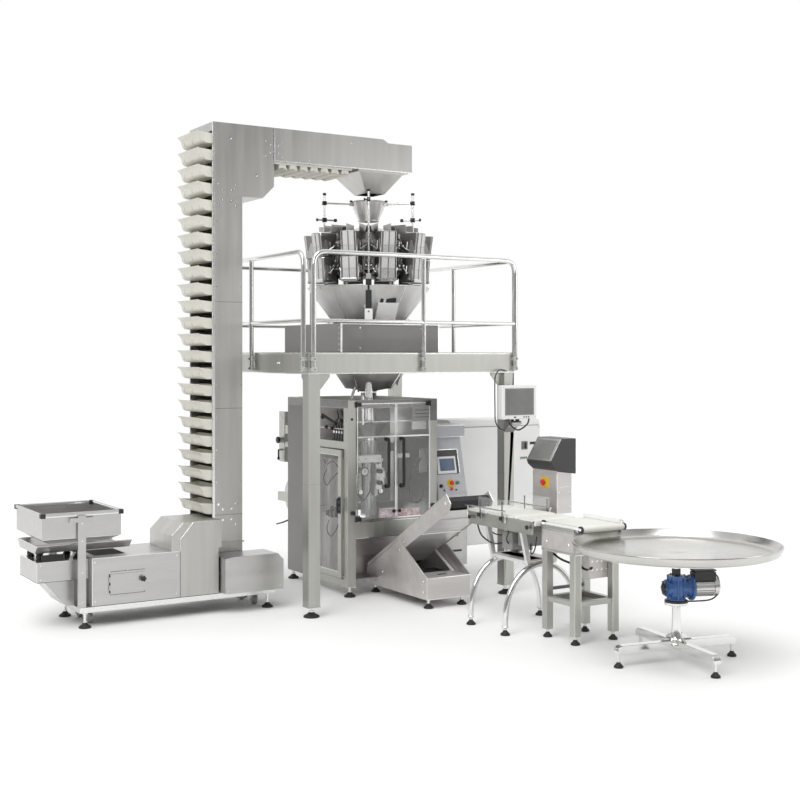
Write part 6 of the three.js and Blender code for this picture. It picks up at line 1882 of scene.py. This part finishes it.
def transfer_details():
    """Belt, guides, motor box, bolts and bars of the transfer conveyor."""
    t = TRANSFER
    belt, rollers, edges, black, bolts, guide, dark = pieces(7)
    z = t.top + 22
    belt_loop(belt, t.left + 14, t.right - 14, t.front - 79, t.rear + 11, z, 22)
    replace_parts(belt.make("transfer_belt_loop", WHITE_BELT), "transfer_belt")
    for y in (t.front - 57, t.rear - 11):
        rollers.rod((t.left + 4, y, z - 22), (t.right - 4, y, z - 22), 9, sides=20)
        for x, way in ((t.left + 12, -1), (t.right - 12, 1)):
            black.turned((x, y, z - 22), (way, 0, 0), [(0, 26), (12, 26), (14, 22)], 28)
            bolts.bolt((x + way * 14, y, z - 22), (way, 0, 0), 7, 5)
    rollers.make("transfer_roller_shafts", TUBE)
    for x in (t.left - 3, t.right - 9):
        guide.box(x, x + 12, t.front - 70, t.rear + 8, t.top - 4, t.top + 12)
    guide.box(t.right - 46, t.right - 32, t.front - 60, t.rear - 30, z + 6, z + 34)
    for y in (t.front - 30, t.rear - 70):
        guide.tube(bend([(t.right - 39, y, z + 20), (t.right + 12, y, z + 20), (t.right + 12, y, z - 60)], 10,
                        4), 5, 10)
    guide.make("transfer_guides", WHITE, bevel=1)
    for low, high in ((622, 627), (t.top - 30, t.top - 24)):
        edges.box(t.left - 6, t.right + 6, t.front - 6, t.front - 2, low, high)
        edges.box(t.left - 6, t.left - 2, t.front - 4, t.rear + 4, low, high)
    for x in (t.left, t.right - 56):
        edges.box(x - 1, x + 2.5, t.front - 1.2, t.front + 1, 60, 620)
        edges.box(x + 53.5, x + 57, t.front - 1.2, t.front + 1, 60, 620)
    edges.make("transfer_edges", HIGHLIGHT_STEEL)
    # Drive motor under the housing, its cable and the tie bar below.
    motor = Piece()
    motor.box(238.5, 456.5, t.front + 58, t.front + 201, 438, 641)
    motor.box(t.left + 2, t.right - 2, t.front - 6.4, t.front - 4.2, 640, 772)
    motor.box(t.left - 6.4, t.left - 4.2, t.front + 8, t.rear - 8, 640, 772)
    for k in range(4):
        for zz in (500, 560):
            bolts.bolt((262 + k * 44, t.front + 58, zz), FRONT, 6, 4)
    motor.make("transfer_motor_box", STEEL_WARM, bevel=2)
    for zz in (650, 700, 745):
        for xx in (t.left + 30, t.left + 190, t.right - 30):
            bolts.bolt((xx, t.front - 6, zz), FRONT, 5, 4)
    for yy in (t.front + 60, t.rear - 60):
        bolts.bolt((t.left - 6, yy, 690), LEFT, 6, 4)
    black.tube(curve([(120, -2320, 620), (150, -2420, 560), (220, -2520, 520), (240, -2600, 500),
                      (250, -2650, 520)], 8), 8, 10)
    black.turned((t.right + 8, t.front + 40, 758), FRONT, [(0, 14), (10, 14), (12, 8)], 16)
    dark.box(t.left + 36, t.right - 36, t.rear - 30, t.rear - 14, 330, 352)
    dark.box(t.left + 10, t.right - 10, t.front + 12, t.rear - 12, 262, 268)
    dark.make("transfer_dark_bars", STEEL_DARK, bevel=0.8)
    bolts.make("transfer_bolts", TUBE)
    black.make("transfer_black_parts", BLACK)


takeoff_details()
checkweigher_frame()
checkweigher_electronics()
checkweigher_guards()
checkweigher_top()
checkweigher_head()
transfer_details()


# ---------------------------------------------------------------- rotary collecting table
DISH_SIZE = Sizes(radius=680, rim=782, floor=725)
DRIVE_HEIGHT = 485
DRIVE_WAY = Vector((0.93, -0.37, 0)).normalized()


def rotary_disc():
    """The dish, its hub and the spokes under it."""
    x, y = DISC
    d = DISH_SIZE
    dish, hub = pieces(2)
    r, rim, floor = d.radius, d.rim, d.floor
    profile = [(floor - 4, 60), (floor - 4, r - 46), (floor - 1, r - 34), (floor + 9, r - 19),
               (rim - 22, r - 6), (rim - 12, r - 1), (rim - 6, r), (rim - 1, r - 2), (rim, r - 6),
               (rim - 1, r - 11), (rim - 8, r - 14), (rim - 22, r - 22), (floor + 16, r - 32),
               (floor + 4, r - 42), (floor, r - 56), (floor, 60)]
    dish.ring((x, y, 0), UP, profile, 128)
    dish.turned((x, y, 0), UP, [(floor - 3.8, 62), (floor + 0.3, 62), (floor + 1.5, 56), (floor + 2, 20)], 64)
    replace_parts(dish.make("rotary_dish", DISH, "rotary_disc", sharp=40), "rotary_disc")
    hub.turned((x, y, 612), UP, [(0, 20), (64, 20), (70, 30), (84, 40), (88, 88), (92, 90), (109.5, 90)], 40)
    for a in around(6):
        hub.bolt((x + 70 * cos(a), y + 70 * sin(a), 701), DOWN, 8, 7)
    for a in around(6, pi / 6):
        start = Vector((x + 80 * cos(a), y + 80 * sin(a), 716))
        end = Vector((x + 590 * cos(a), y + 590 * sin(a), 716))
        hub.rod(start, end, 5, sides=8)
    hub.ring((x, y, 0), UP, [(712, 584), (712, 600), (721.5, 600), (721.5, 584)], 96)
    hub.make("rotary_hub", TUBE, "rotary_disc")


def along_drive(reach, height=0.0, across=0.0):
    side = Vector((-DRIVE_WAY.y, DRIVE_WAY.x, 0))
    return Vector((*DISC, DRIVE_HEIGHT + height)) + DRIVE_WAY * reach + side * across


def rotary_drive():
    """Worm gearbox, motor and terminal box."""
    x, y = DISC
    z = DRIVE_HEIGHT
    case, dark, motor, bolts, cable = pieces(5)
    case.turned((x, y, z - 76), UP, [(0, 62), (8, 62), (10, 54), (26, 50), (50, 57), (104, 57), (128, 50),
                                     (144, 54), (146, 62), (158, 62)], 40)
    case.turned(along_drive(-84), DRIVE_WAY, [(0, 48), (10, 48), (12, 56), (24, 58), (54, 50), (120, 50),
                                              (150, 52), (160, 60), (172, 66)], 36)
    case.turned(along_drive(88), DRIVE_WAY, [(0, 78), (4, 84), (20, 84), (22, 80)], 44)
    for a in around(6):
        rib = (x + 56 * cos(a), y + 56 * sin(a))
        case.rod((*rib, z - 68), (*rib, z + 74), 7, sides=10)
    for a in around(6):
        bolts.bolt(along_drive(86, 74 * sin(a), 74 * cos(a)), -DRIVE_WAY, 7, 7)
        bolts.bolt(along_drive(-86, 42 * sin(a), 42 * cos(a)), -DRIVE_WAY, 5, 4)
        bolts.bolt((x + 54 * cos(a + 0.5), y + 54 * sin(a + 0.5), z + 82), UP, 6, 6)
    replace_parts(case.make("gearbox_case", BLUE, sharp=30), "rotary_drive")
    bolts.make("gearbox_bolts", STEEL_DARK)
    dark.turned((x, y, z - 92), UP, [(0, 72), (3, 76), (13, 76), (16, 64)], 40)
    dark.turned(along_drive(-96), DRIVE_WAY, [(0, 20), (2, 30), (10, 34), (12, 34)], 28)
    dark.rod((x, y, z + 80), (x, y, 611), 29, sides=28)
    # Motor with cooling ribs, fan cover and a terminal box with its cable.
    motor.turned(along_drive(108), DRIVE_WAY, [(0, 60), (10, 60), (12, 54), (140, 54), (142, 60), (150, 61),
                                               (172, 60), (178, 50), (178.5, 12)], 44)
    for a in around(20):
        if 0.25 < a / pi < 0.75:
            continue
        near = [along_drive(122, r * sin(a), r * cos(a)) for r in (50, 61)]
        far = [along_drive(246, r * sin(a), r * cos(a)) for r in (50, 61)]
        way = Vector((0, 0, cos(a))) - Vector((-DRIVE_WAY.y, DRIVE_WAY.x, 0)) * sin(a)
        motor.skin([[p - way * 1.5 for p in (near[0], near[1], far[1], far[0])],
                    [p + way * 1.5 for p in (near[0], near[1], far[1], far[0])]])
    motor.make("table_motor", PLATE)
    box = Piece()
    corners = [(112, 44), (262, 44), (262, 100), (246, 110), (128, 110), (112, 100)]
    box.skin([[along_drive(reach, height, across) for reach, height in corners] for across in (-42, 42)])
    box.skin([[along_drive(reach, 109, across) for reach, across in ((110, -44), (264, -44), (264, 44),
                                                                     (110, 44))],
              [along_drive(reach, 118, across) for reach, across in ((110, -44), (264, -44), (264, 44),
                                                                     (110, 44))]])
    box.make("terminal_box", BLACK, bevel=3)
    dark.make("gearbox_dark_flanges", BLACK, bevel=0.8)
    cable.tube(curve([along_drive(262, 66, 20), along_drive(284, 74, 26), along_drive(298, 50, 10),
                      along_drive(288, -20, -30), along_drive(230, -74, -40), along_drive(120, -88, -20),
                      along_drive(40, -88, 0)], 8), 5, 10)
    cable.turned(along_drive(260, 66, 20), DRIVE_WAY, [(0, 12), (14, 12), (16, 8), (24, 7)], 12)
    cable.make("motor_cable", HOSE)


def rotary_pedestal():
    """Column on four arms."""
    x, y = DISC
    column, arms = pieces(2)
    column.turned((x, y, 118), UP, [(0, 66), (10, 64), (22, 52), (44, 38), (80, 31), (130, 28), (236, 28),
                                    (250, 32), (258, 76), (262, 78), (274.5, 78)], 48)
    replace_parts(column.make("table_column", TUBE), "rotary_pedestal")
    for i in range(4):
        arms.at((x, y, 0), TABLE_TURN + i * pi / 2)
        reach, half = TABLE_ARM + 20, 28
        outline = [(-10, 86), (reach - 46, 86), (reach - 40, 84), (reach, 84), (reach, 110), (reach - 6, 126),
                   (reach - 18, 137), (reach - 34, 142), (60, 145), (-10, 146)]
        arms.prism("xz", outline, -half, half)
        arms.prism("xz", [(40, 142), (130, 140), (60, 180), (40, 192)], -4, 4)
    arms.make("table_arms", TUBE, bevel=3)


rotary_disc()
rotary_drive()
rotary_pedestal()
